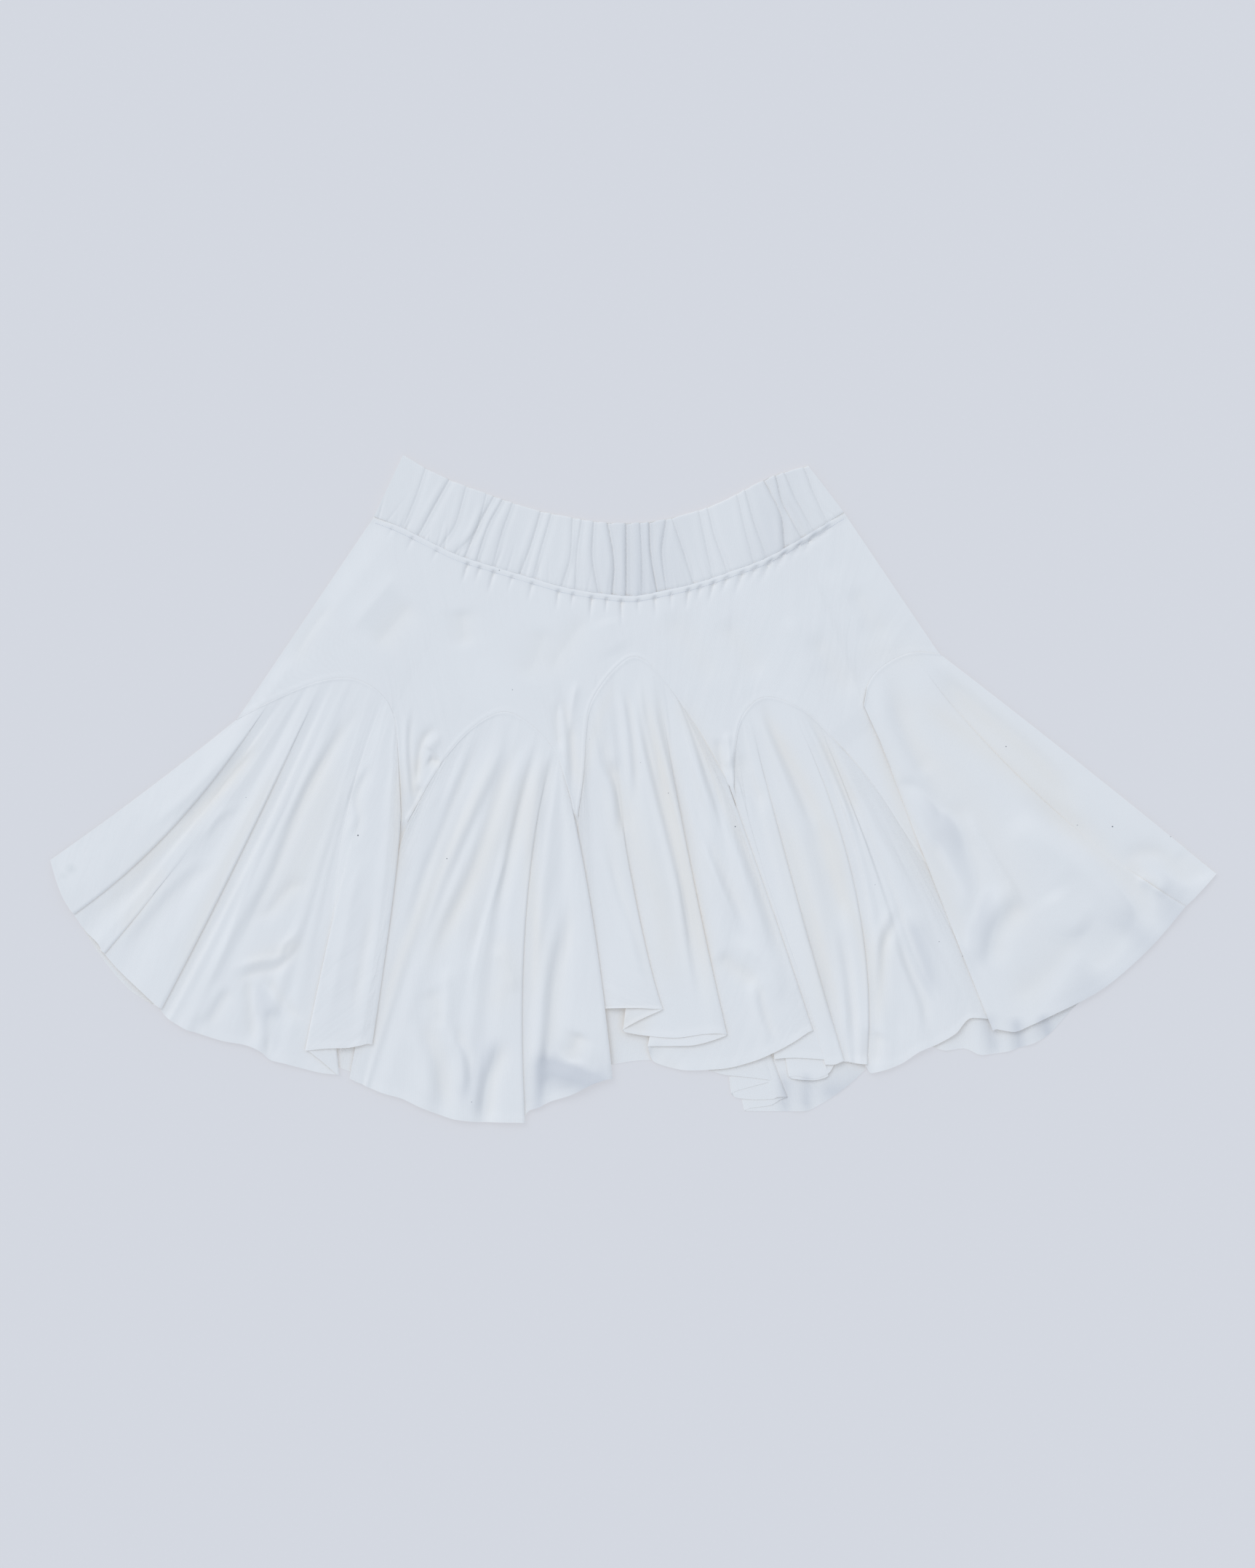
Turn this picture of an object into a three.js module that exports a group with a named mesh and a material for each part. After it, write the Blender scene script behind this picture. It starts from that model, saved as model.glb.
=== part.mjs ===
// A flared skirt of white jersey, laid flat on its back.
// Elastic waistband, a yoke with a scalloped lower edge, and godets set into the scallops.
// Millimetres, +X to the right, +Y to the waist, +Z up. The underside lies at z = 0.
import * as THREE from 'three';

// Walls and clearances
const CLOTH_WALL = 1.0;
const BAND_WALL = 1.9;
const SEAM_GAP = 0.4;
const LAYER_PITCH = 1.35;

// Heights of the middle of the cloth over the surface that it lies on
const BACK_LEVEL = CLOTH_WALL / 2;
const FRONT_REST = BACK_LEVEL + CLOTH_WALL + 0.3;
const YOKE_LEVEL = 3.0;
const FRONT_BAND_BASE = BAND_WALL + 0.3;
const SIDE_RISE = 20;
const FOLD_RISE = 0.6;

// How finely each piece is divided
const ARCH_STEPS = 16;
const GODET_ROWS = [0, 0.07, 0.2, 0.35, 0.49, 0.64, 0.81, 1];
const BACK_ROWS = [0, 0.3, 0.6, 0.85, 1];
const FRONT_YOKE_ROWS = [0, 0.1, 0.35, 0.65, 0.9, 1];
const BACK_YOKE_ROWS = [0, 0.5, 1];
const WAIST_STEPS = 60;
const BAND_COLUMNS = 104;
const BAND_ROWS = [0, 0.3, 0.65, 1];
const WIDE_STEP = 14;
const FRONT_SEAM_STEP = 0.055;
const BACK_SEAM_STEP = 0.1;

const CLOTH_COLOUR = 0xdde3ea;
const SHADED_COLOUR = 0xd2d9e1;
const BAND_COLOUR = 0xd6dde6;

// Gives each value of a table's rows the name of its column
function named(columns, rows) {
  const names = columns.split(' ');
  return rows.map((row) => Object.fromEntries(names.map((name, i) => [name, row[i] ?? 0])));
}

// Waistband: its top edge and the seam to the yoke, left to right
const BAND_TOP = named('x y', [
  [-158, 229.5], [-140, 219], [-120, 210], [-95, 201], [-70, 192.5], [-45, 187], [-20, 183.2],
  [10, 183.5], [35, 188.5], [60, 197], [80, 207.5], [97, 215.5], [120, 222],
]);
const WAIST_SEAM = named('x y', [
  [-178, 187], [-160, 180], [-140, 170], [-120, 160.5], [-95, 152.5], [-70, 145], [-45, 138], [-20, 134],
  [0, 132.5], [20, 136], [45, 142], [70, 150.5], [90, 158], [110, 169], [130, 181], [144.5, 190],
]);

// How far the front waistband puffs out along its middle, and how soon from its ends
const BAND_PUFF = 0.5;
const PUFF_ENDS = 14;

// Gathers of the front waistband: x where each crosses the top edge, the middle and the seam,
// its half width and its depth
const DEEPEST_GATHER = 1.3;
const BAND_GATHERS = named('topX midX seamX half depth', [
  [-141, -148, -158, 2.0, 0.6], [-124, -135, -147, 2.4, 1.0], [-112, -118, -131, 2.2, 0.6],
  [-98, -104, -121, 2.0, 0.6], [-93, -104, -114, 2.0, 0.9], [-87, -98, -106, 2.0, 0.8],
  [-80, -88, -95, 1.8, 0.6], [-61, -68, -77, 2.2, 0.9], [-54, -61, -68, 2.2, 0.7],
  [-40, -42, -49, 2.0, 0.8], [-34, -38, -40, 2.0, 0.8], [-26, -28, -25, 2.2, 0.9],
  [-17, -14, -16, 2.4, 1.0], [-5, -6, -7, 2.2, 1.0], [4, 4, 3, 1.8, 0.6],
  [10, 10, 13, 2.2, 1.0], [21, 17, 19, 2.4, 0.7], [25, 31, 37, 2.2, 0.8],
  [43, 46, 50, 2.0, 0.7], [49, 53, 60, 2.0, 0.8], [70, 73, 78, 1.8, 0.7],
  [76, 80, 87, 2.0, 0.8], [90, 98, 100, 2.6, 1.1], [98, 102, 113, 2.2, 1.0],
  [104, 111, 122, 2.2, 0.8], [117, 123, 132, 2.2, 0.9],
]);

// Seams of the front godets, each from its left foot over the top to its right foot.
// The yoke ends on these lines. neck says which steps of a line the yoke's body meets:
// the rest borders the tongues of the yoke between two godets.
const FRONT_SEAMS = [
  { neck: [0, 10], points: named('x y', [
    [-272, 48], [-245, 62], [-215, 74], [-193, 76], [-175, 67], [-165, 52], [-161.5, 17], [-159.5, -22],
  ]) },
  { neck: [4, 12], points: named('x y', [
    [-154.5, -21], [-131, 19], [-108, 44], [-88, 53], [-69, 43], [-53, 24], [-47, 5], [-41.5, -14],
  ]) },
  { neck: [5, 13], points: named('x y', [
    [-38, -17], [-34, 12], [-32.5, 40], [-29, 59], [-12, 83], [1, 91], [16, 81], [35, 55], [51, 29], [66, 2],
  ]) },
  { neck: [3, 7], points: named('x y', [
    [69, 1], [69.5, 25], [75, 50], [89, 63], [115, 55], [142, 29], [166, 1], [191, -37], [211, -65], [229, -90],
  ]) },
  { neck: [0, 16], points: named('x y', [
    [158, 57], [162, 74], [172, 85], [190, 93.5], [210, 93],
  ]) },
];

// Hidden right border of the last tongue, under the left flap of godet 5, in even steps,
// and how far the tongue falls at each
const LAST_TONGUE_RIGHT = named('x y', [
  [158, 57], [172, 27], [180, 5], [191, -18], [206, -43], [219, -65], [233, -90],
]);
const LAST_TONGUE_STEPS = 9;
const TONGUE_FALL = 0.8;

// Folds of the front godets in the order of the cloth, left to right.
// s: where the fold leaves the seam, from 0 at its left foot to 1 at its right foot.
// midX midY hemX hemY: where the fold passes half way down and at the hem.
// midZ hemZ: height of the cloth there.
// midTuck hemTuck: how far the cloth turns back under this line. Over 0 the flap on the left
// lies over the cloth to its right, under 0 the flap on the right lies over the cloth to its left.
// side drop: a single turn of the cloth at this line. side is 1 where it turns back at its right,
// -1 at its left. drop is 1 where it goes on in the layer below, -1 in the layer above.
const FOLD = 's midX midY hemX hemY midZ hemZ midTuck hemTuck side drop';
const FRONT_FOLDS = [
  { feet: { left: 1.8, leftTo: 0.1, right: 4.4, rightFrom: 0.7 }, folds: named(FOLD, [
    [0, -333, 0, -400.5, -49, 1.8, 1.8],
    [0.05, -326, -9, -396, -64, 4.0, 3.8],
    [0.09, -320, -17, -391, -76, 5.2, 5.0],
    [0.13, -314, -24, -384, -86, 5.4, 5.2, 4, 4.5],
    [0.18, -307, -27, -376, -98, 2.0, 2.0],
    [0.21, -303, -28, -367, -107, 3.2, 4.6],
    [0.24, -297, -31, -363, -113, 3.6, 4.8, 0, 4],
    [0.27, -287, -38, -355, -123, 2.0, 2.0],
    [0.3, -276, -40, -337, -140, 4.6, 5.2],
    [0.33, -267, -39, -324, -151, 5.2, 5.6, 3, 6],
    [0.36, -261, -41, -321.5, -156, 1.9, 2.0],
    [0.38, -258, -42, -318, -159, 4.0, 4.6],
    [0.4, -254, -43, -314, -161.5, 2.8, 2.4],
    [0.42, -250, -44, -307, -165.5, 4.4, 5.4],
    [0.44, -244, -46, -299, -168, 2.0, 2.0],
    [0.465, -233, -51, -281, -173.5, 4.2, 4.4],
    [0.49, -223, -55, -267, -176, 3.6, 2.8],
    [0.505, -218, -57, -257, -180, 4.0, 5.0],
    [0.52, -214, -59, -249, -186.5, 3.0, 2.2],
    [0.535, -211, -60, -239, -189, 2.6, 3.4],
    [0.55, -208, -61, -226, -192.5, 2.0, 2.0],
    [0.56, -205, -61, -213, -195.5, 1.9, 1.9],
    [0.57, -203, -61, -202, -196.5, 2.3, 2.6, 1, 3, 1, -1],
    [0.581, -201, -61, -213, -188, 3.2, 3.3],
    [0.592, -199, -60, -225, -179.5, 4.2, 4.0, 1, 3, -1, -1],
    [0.608, -192, -62, -211, -178.5, 4.8, 4.8],
    [0.63, -180, -68, -197, -178, 4.4, 4.8],
    [0.66, -172, -70, -188, -176.5, 5.6, 5.9],
    [0.975, -165, -72, -179.5, -175.5, 5.6, 5.7, 5, 7],
  ]), ends: true },
  { feet: { left: 2.2, leftTo: 0.25, right: 4.4, rightFrom: 0.8 }, folds: named(FOLD, [
    [0, -172, -86, -195, -199, 2.2, 1.9],
    [0.3, -161, -84, -190, -201.5, 2.8, 2.8],
    [0.37, -154, -83, -186, -203, 2.0, 2.0],
    [0.44, -147, -83, -183.5, -204.5, 4.0, 3.6],
    [0.5, -141, -83, -180, -206, 2.2, 2.0],
    [0.54, -133, -83, -171, -209.5, 4.6, 4.4],
    [0.58, -125, -84, -160, -212.5, 2.4, 3.4],
    [0.61, -110, -86, -146, -219, 5.2, 4.8],
    [0.64, -103, -87, -134, -223.5, 4.6, 3.0],
    [0.67, -98, -88, -121, -227.5, 4.8, 5.0],
    [0.7, -92, -88, -104, -229, 2.8, 2.0],
    [0.73, -84, -88, -90, -229.2, 4.8, 5.2],
    [0.77, -74, -89, -74.5, -229.5, 5.2, 5.4, 2.5, 4.5],
    [0.8, -68, -90, -72, -221.5, 2.8, 2.2],
    [0.82, -62, -91, -65, -219, 4.4, 3.6],
    [0.84, -50, -93, -57, -215, 2.4, 2.6],
    [0.87, -40, -95, -43, -210.5, 4.8, 5.0],
    [0.9, -34, -96, -28, -203, 5.6, 6.2],
    [0.97, -27, -97, -14.5, -199, 5.8, 6.6, 5, 6],
  ]), ends: true },
  { feet: { left: 2.2, leftTo: 0.25, right: 4.4, rightFrom: 0.8 }, folds: named(FOLD, [
    [0, -34, -92, -25, -152, 2.2, 2.8],
    [0.29, -24, -87, -18, -151, 2.8, 3.4],
    [0.31, -16, -84, -11.5, -150.7, 3.0, 6.2],
    [0.33, -10, -80, 3, -150.5, 3.6, 7.5],
    [0.36, -4, -72, 12, -151, 5.6, 7.6],
    [0.38, 0, -70, 20, -151.5, 4.9, 6.9],
    [0.4, -2, -71, 3, -159.5, 3.9, 5.8],
    [0.42, -4, -69, -7, -166, 2.9, 4.9],
    [0.44, 0, -66, 4, -169, 1.9, 3.9],
    [0.48, 13, -54, 28, -171, 4.2, 5.3],
    [0.53, 26, -45, 48, -168.5, 2.8, 5.7],
    [0.57, 34, -44, 57, -168, 5.3, 7.0],
    [0.59, 38, -48, 64, -169, 4.7, 6.2],
    [0.605, 38.5, -48, 38, -176.5, 3.8, 4.9],
    [0.62, 39, -47, 10, -177, 2.8, 3.7],
    [0.635, 40.5, -47, 13, -186.5, 1.9, 2.4],
    [0.655, 46, -46, 38, -193.5, 2.4, 2.5],
    [0.68, 56, -44, 60, -192.5, 4.6, 3.4],
    [0.71, 64, -40, 80, -188, 2.2, 4.4],
    [0.75, 74, -50, 96, -181.5, 4.8, 5.6],
    [0.8, 84, -64, 110, -174, 3.8, 5.2],
    [0.975, 92, -74, 123, -166, 4.8, 5.6, 3.5, 5],
  ]), ends: true },
  { feet: { left: 2.2, leftTo: 0.16, right: 1.8, rightFrom: 0.42 }, folds: named(FOLD, [
    [0, 90, -80, 114, -186, 1.9, 2.6],
    [0.15, 99, -76, 130, -188.5, 2.0, 2.6],
    [0.175, 105, -73, 137.5, -189.5, 4.4, 5.2],
    [0.2, 111, -71, 144.5, -187, 4.6, 5.4, 3, 4],
    [0.22, 116, -69, 147, -187.5, 2.0, 2.2],
    [0.235, 124, -67, 149.5, -188, 4.2, 3.2],
    [0.25, 136, -67, 152, -188.5, 2.2, 2.6],
    [0.28, 143, -65, 156, -189, 4.2, 5.0],
    [0.31, 151, -64, 160.5, -189, 4.6, 5.0, 2.5, 3],
    [0.33, 156, -63, 163, -195.5, 2.0, 2.2],
    [0.35, 160, -63, 172, -193.5, 4.0, 4.0],
    [0.37, 164, -64, 184, -189, 3.6, 2.6],
    [0.39, 168, -65, 197, -180.5, 4.4, 4.4],
    [0.41, 172, -67, 209, -175.5, 2.2, 3.0],
    [0.45, 182, -66, 221, -168.5, 4.6, 4.4],
    [0.52, 200, -78, 233, -157.5, 2.2, 3.0],
    [1, 240, -124, 256, -159, 1.8, 3.0],
  ]) },
  { feet: { left: 5.0, leftTo: 0.3, right: 1.8, rightFrom: 0.8 }, starts: true, folds: named(FOLD, [
    [0.07, 200, -47, 247, -166, 4.8, 5.8, -4.5, -6],
    [0.18, 216, -35, 261, -167, 3.9, 4.8],
    [0.27, 233, -40, 273, -162.5, 5.0, 5.2],
    [0.36, 248, -34, 287, -156, 4.4, 4.6],
    [0.46, 258, -27, 320, -139, 4.8, 4.8],
    [0.56, 267, -18, 347, -117, 3.6, 4.0],
    [0.65, 273, -11, 366, -97, 5.0, 4.8],
    [0.74, 279, -6, 379, -81, 5.2, 4.8, 4, 4],
    [0.83, 287, 2, 385, -75.5, 2.0, 2.0],
    [0.92, 296, 10, 392, -68, 3.2, 3.0],
    [1, 306, 18, 400.5, -58.5, 1.8, 1.8],
  ]) },
];

// Seams of the back godets, which lie hidden, and the tongues between them
const BACK_SEAMS = [
  { neck: [0, 11], points: named('x y', [[-272, 48], [-240, 64], [-212, 66], [-190, 50], [-176, -8]]) },
  { neck: [5, 11], points: named('x y', [[-172, -8], [-150, 38], [-116, 60], [-84, 40], [-62, -18]]) },
  { neck: [5, 11], points: named('x y', [[-58, -18], [-40, 44], [-6, 72], [26, 46], [46, -14]]) },
  { neck: [5, 11], points: named('x y', [[50, -14], [68, 44], [100, 68], [126, 50], [146, 0]]) },
  { neck: [5, 16], points: named('x y', [[150, 0], [162, 58], [180, 86], [196, 92], [210, 93]]) },
];

// Folds of the back godets: flat but for the hem folds that show below the front
const BACK_FOLDS = [
  named(FOLD, [
    [0, -333, 0, -400, -50, 0.5, 0.5],
    [0.16, -318, -18, -382, -89, 0.5, 0.5],
    [0.3, -296, -32, -363, -119, 0.5, 0.5],
    [0.42, -272, -42, -344, -140, 0.5, 0.5],
    [0.54, -250, -50, -324, -151.5, 0.5, 0.5],
    [0.68, -226, -66, -284, -169, 0.5, 0.5],
    [0.84, -206, -88, -242, -183, 0.5, 0.5],
    [1, -185.5, -100, -204.4, -191, 0.5, 0.5],
  ]),
  named(FOLD, [
    [0, -184.5, -100, -203.6, -191, 0.5, 0.5],
    [0.28, -158, -82, -180, -200, 0.5, 0.5],
    [0.5, -124, -80, -140, -214, 0.5, 0.5],
    [0.72, -92, -84, -104, -222, 0.5, 0.5],
    [1, -65.5, -110, -74.4, -219, 0.5, 0.5],
  ]),
  named(FOLD, [
    [0, -64.5, -110, -73.6, -219, 0.5, 0.5],
    [0.28, -40, -80, -44, -204, 0.5, 0.5],
    [0.5, -8, -58, -14, -189.5, 0.5, 0.5],
    [0.7, 24, -72, 10, -186.5, 0.5, 0.5],
    [1, 43.5, -100, 34.6, -188.5, 0.5, 0.5],
  ]),
  named(FOLD, [
    [0, 44.5, -100, 35.4, -188.5, 0.5, 0.5],
    [0.2, 56, -84, 54, -195, 0.5, 0.5],
    [0.32, 64, -79, 64, -199, 0.5, 1.7],
    [0.4, 70, -77, 70, -214, 0.5, 1.0],
    [0.46, 75, -76, 78, -221, 0.5, 0.5],
    [0.53, 82, -76, 87, -221.3, 0.5, 2.0],
    [0.6, 90, -77, 96, -221.5, 0.5, 0.5],
    [0.66, 96, -80, 106, -221.7, 0.5, 0.6],
    [0.7, 101, -82, 113, -221.8, 0.5, 2.2],
    [0.74, 106, -84, 120, -221, 0.5, 0.6],
    [0.8, 114, -88, 131, -214.5, 0.5, 0.5],
    [0.88, 126, -92, 145, -206, 0.5, 2.0],
    [1, 149.5, -96, 159.6, -193, 0.5, 0.5],
  ]),
  named(FOLD, [
    [0, 150.5, -96, 160.4, -193, 0.5, 0.5],
    [0.12, 174, -88, 184, -185, 0.5, 0.5],
    [0.22, 190, -78, 203, -177, 0.5, 0.5],
    [0.28, 200, -72, 214, -180, 0.5, 1.8],
    [0.33, 208, -66, 227, -178.5, 0.5, 0.5],
    [0.38, 216, -60, 239, -183, 0.5, 2.6],
    [0.43, 224, -54, 249, -182, 0.5, 0.6],
    [0.47, 230, -50, 258, -180.5, 0.5, 2.0],
    [0.51, 236, -46, 265, -178, 0.5, 0.5],
    [0.55, 242, -42, 274, -175.5, 0.5, 2.2],
    [0.6, 248, -36, 284, -170, 0.5, 0.5],
    [0.66, 256, -30, 302, -151, 0.5, 0.5],
    [0.78, 272, -12, 340, -120, 0.5, 0.5],
    [0.9, 290, 6, 380, -78, 0.5, 0.5],
    [1, 306, 18, 400.5, -58, 0.5, 0.5],
  ]),
];

// A smooth line through points, as evenly spaced steps
function evenSteps(points, steps) {
  const path = points.map(({ x, y }) => new THREE.Vector3(x, y, 0));
  return new THREE.CatmullRomCurve3(path, false, 'centripetal').getSpacedPoints(steps);
}

// The same steps moved to the right of their direction
function movedRight(steps, distance) {
  return steps.map((step, i) => {
    const before = steps[Math.max(i - 1, 0)];
    const after = steps[Math.min(i + 1, steps.length - 1)];
    const run = after.clone().sub(before).normalize();
    return step.clone().addScaledVector(new THREE.Vector3(run.y, -run.x, 0), distance);
  });
}

// The point at a fraction of a line of even steps
function along(steps, fraction) {
  const place = THREE.MathUtils.clamp(fraction, 0, 1) * (steps.length - 1);
  const i = Math.min(Math.floor(place), steps.length - 2);
  return steps[i].clone().lerp(steps[i + 1], place - i);
}

// A curve through values at 0, 1, 2 ... that never swings past them
function softCurve(values) {
  const last = values.length - 1;
  const slopes = values.map((value, i) => {
    if (i === 0 || i === last) return 0;
    const before = value - values[i - 1];
    const after = values[i + 1] - value;
    return before * after > 0 ? (2 * before * after) / (before + after) : 0;
  });
  slopes[0] = values[1] - values[0];
  slopes[last] = values[last] - values[last - 1];
  return (place) => {
    const i = Math.min(Math.floor(place), last - 1);
    const t = place - i;
    const rise = values[i + 1] - values[i];
    const cubic = slopes[i] + slopes[i + 1] - 2 * rise;
    const square = 3 * rise - 2 * slopes[i] - slopes[i + 1];
    return values[i] + t * (slopes[i] + t * (square + t * cubic));
  };
}

// How the cloth lies where it turns back under a fold: offset across the fold, in tucks,
// and depth below the upper layer, in layers
const TURN = named('across down', [
  [-0.4, 0], [0, 0.5], [-0.5, 1], [-1, 1.5], [-0.5, 2],
]);
const CUT_TURN = named('across down', [[-0.4, 0], [0, 0.55], [-1, 1.3]]);
const SINGLE_TURN = named('across down', [[-1, -0.5], [0, 0], [-1, 0.5]]);
const LOOSE_SPREAD = 0.9;
const FULL_TUCK = 3;
const TURN_SEAM_SPREAD = 1.3;
const CUT_SEAM_SPREAD = 5;

// The cloth lines of one fold: a single one, or the turn of a tucked one
function foldLines(fold, part, seamLength) {
  const tuck = Math.abs(fold.midTuck) + Math.abs(fold.hemTuck);
  if (tuck === 0) return [{ ...fold, acrossMid: 0, acrossHem: 0, seamDrop: 0 }];
  const toLeft = fold.side ? fold.side > 0 : fold.midTuck + fold.hemTuck > 0;
  const sign = toLeft ? 1 : -1;
  let turn = part === 'whole' ? TURN : CUT_TURN;
  if (fold.side) turn = SINGLE_TURN.map(({ across, down }) => ({ across, down: down * fold.drop }));
  const reversed = !fold.side && !toLeft;
  const lines = turn.map(({ across, down }, i) => {
    const place = i - (turn.length - 1) / 2;
    const order = reversed ? -place : place;
    const at = (amount, height) => {
      const share = Math.min(1, Math.abs(amount) / FULL_TUCK);
      const offset = order * LOOSE_SPREAD * (1 - share) + sign * across * Math.abs(amount);
      return { offset, height: height - down * LAYER_PITCH * share };
    };
    const mid = at(fold.midTuck, fold.midZ);
    const hem = at(fold.hemTuck, fold.hemZ);
    const spread = part === 'whole' ? TURN_SEAM_SPREAD : CUT_SEAM_SPREAD;
    const seamDrop = part === 'whole' ? 0 : down * LAYER_PITCH;
    const s = THREE.MathUtils.clamp(fold.s + order * spread / seamLength, 0, 1);
    const levels = { midZ: mid.height, hemZ: hem.height, seamDrop };
    return { ...fold, ...levels, s, acrossMid: mid.offset, acrossHem: hem.offset };
  });
  return reversed ? lines.reverse() : lines;
}

// A cloth panel that hangs from a seam line, with its folds in the order of the cloth
function foldedPanel({ seam, seamStep, folds, rows, seamHeight, heightDown, starts, ends, lower }) {
  const seamLength = seam[0].distanceTo(seam[1]) * (seam.length - 1);
  const lines = folds.flatMap((fold, i) => {
    const cut = (ends && i === folds.length - 1) || (starts && i === 0);
    return foldLines(fold, cut ? 'cut' : 'whole', seamLength);
  });
  const seamPoint = (at) => along(seam, at);
  const controls = lines.map((line) => {
    const mid = new THREE.Vector3(line.midX, line.midY, line.midZ);
    const hem = new THREE.Vector3(line.hemX, line.hemY, line.hemZ);
    const run = hem.clone().sub(seamPoint(line.s)).setZ(0).normalize();
    const right = new THREE.Vector3(-run.y, run.x, 0);
    mid.addScaledVector(right, line.acrossMid);
    hem.addScaledVector(right, line.acrossHem);
    return { s: line.s, seamDrop: line.seamDrop, mid, hem };
  });
  const places = [];
  controls.forEach(({ s, hem }, i) => {
    const next = controls[i + 1] ?? controls[i];
    const widest = Math.max(1, hem.distanceTo(next.hem) / WIDE_STEP, (next.s - s) / seamStep);
    const steps = Math.ceil(widest);
    const count = next === controls[i] ? 1 : steps;
    for (let step = 0; step < count; step += 1) places.push(i + step / count);
  });
  const seamAt = softCurve(controls.map(({ s }) => s));
  const dropAt = softCurve(controls.map(({ seamDrop }) => seamDrop));
  const acrossOf = (which) => {
    const curveOf = (axis) => softCurve(controls.map((control) => control[which][axis]));
    const [x, y, z] = ['x', 'y', 'z'].map(curveOf);
    return (place) => new THREE.Vector3(x(place), y(place), z(place));
  };
  const midAt = acrossOf('mid');
  const hemAt = acrossOf('hem');
  const grid = rows.map((v) => places.map((place) => {
    const s = seamAt(place);
    const mid = midAt(place);
    const hem = hemAt(place);
    const point = seamPoint(s).multiplyScalar((1 - v) * (1 - 2 * v));
    point.addScaledVector(mid, 4 * v * (1 - v)).addScaledVector(hem, v * (2 * v - 1));
    point.z = Math.max(heightDown(seamHeight(s) - dropAt(place), mid.z, hem.z, v), lower);
    return point;
  }));
  return { ...gridSheet(grid), upright: places.length };
}

// Points and quads of a grid whose rows run from the top down
function gridSheet(grid) {
  const width = grid[0].length;
  const points = grid.flat();
  const quads = [];
  for (let row = 0; row < grid.length - 1; row += 1) {
    for (let column = 0; column < width - 1; column += 1) {
      const corner = row * width + column;
      quads.push([corner, corner + width, corner + width + 1, corner + 1]);
    }
  }
  return { points, quads };
}

// A closed wall round a sheet, half its thickness to each side.
// The first upright points lie on a seam, where the wall's edge stands upright.
function wallGeometry({ points, quads, upright = 0 }, thickness) {
  const triangles = quads.flatMap(([a, b, c, d]) => [[a, b, c], [a, c, d]]);
  const normals = points.map(() => new THREE.Vector3());
  const uses = new Map();
  triangles.forEach(([a, b, c]) => {
    const normal = new THREE.Triangle(points[a], points[b], points[c]).getNormal(new THREE.Vector3());
    [[a, b, c], [b, c, a], [c, a, b]].forEach(([corner, next, other]) => {
      const side = points[next].clone().sub(points[corner]);
      const otherSide = points[other].clone().sub(points[corner]);
      normals[corner].addScaledVector(normal, side.angleTo(otherSide));
    });
    [[a, b], [b, c], [c, a]].forEach(([from, to]) => {
      if (uses.has(`${to},${from}`)) uses.delete(`${to},${from}`);
      else uses.set(`${from},${to}`, [from, to]);
    });
  });
  normals.forEach((normal, i) => {
    if (i < upright) normal.set(0, 0, 1);
    normal.normalize();
  });
  const count = points.length;
  const upper = points.map((point, i) => point.clone().addScaledVector(normals[i], thickness / 2));
  const under = points.map((point, i) => point.clone().addScaledVector(normals[i], -thickness / 2));
  const faces = triangles.concat(triangles.map(([a, b, c]) => [count + a, count + c, count + b]));
  uses.forEach(([from, to]) => {
    faces.push([to, from, count + from]);
    faces.push([to, count + from, count + to]);
  });
  return meshGeometry(upper.concat(under), faces);
}

function meshGeometry(points, faces) {
  const geometry = new THREE.BufferGeometry();
  const coordinates = points.flatMap(({ x, y, z }) => [x, y, z]);
  geometry.setAttribute('position', new THREE.Float32BufferAttribute(coordinates, 3));
  geometry.setIndex(faces.flat());
  geometry.computeVertexNormals();
  return geometry;
}

// The yoke: a body from the waist seam down to the godets, with tongues between them
function yokeSheet({ waist, seams, rows, lastTongueRight, height }) {
  const lower = [];
  const tongues = [];
  seams.forEach(({ yokeSide, neck }, i) => {
    lower.push(...yokeSide.slice(neck[0], neck[1] + 1));
    if (i === seams.length - 1) return;
    const next = seams[i + 1];
    const left = yokeSide.slice(neck[1]);
    let right = next.yokeSide.slice(0, next.neck[0] + 1).reverse();
    if (right.length === 1) right = lastTongueRight;
    const middle = left[0].clone().lerp(right[0], 0.5);
    lower.push(middle);
    tongues.push({ column: lower.length - 2, left, right });
  });
  const start = lower[0].x;
  const width = lower[lower.length - 1].x - start;
  const top = lower.map((point) => along(waist, (point.x - start) / width));
  const lastColumn = lower.length - 1;
  const grid = rows.map((v) => lower.map((bottom, i) => {
    const point = top[i].clone().lerp(bottom, v);
    const leftSide = top[0].clone().lerp(lower[0], v);
    const rightSide = top[lastColumn].clone().lerp(lower[lastColumn], v);
    point.z = height(Math.min(point.distanceTo(leftSide), point.distanceTo(rightSide)));
    if (v === 0) point.y -= SEAM_GAP / 2;
    return point;
  }));
  const sheet = gridSheet(grid);
  const bottomRow = (rows.length - 1) * lower.length;
  tongues.forEach(({ column, left, right }) => {
    const steps = Math.max(left.length, right.length) - 1;
    let above = [0, 1, 2].map((offset) => bottomRow + column + offset);
    for (let row = 1; row <= steps; row += 1) {
      const a = along(left, row / steps);
      const b = along(right, row / steps);
      const rowPoints = [a, a.clone().lerp(b, 0.5), b];
      const tucked = Math.max(FRONT_REST, YOKE_LEVEL - TONGUE_FALL * row);
      const level = right === lastTongueRight ? tucked : height(SIDE_RISE);
      rowPoints.forEach((point) => { point.z = level; });
      const first = sheet.points.length;
      sheet.points.push(...rowPoints);
      const below = [first, first + 1, first + 2];
      sheet.quads.push([above[0], below[0], below[1], above[1]], [above[1], below[1], below[2], above[2]]);
      above = below;
    }
  });
  return sheet;
}

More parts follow.
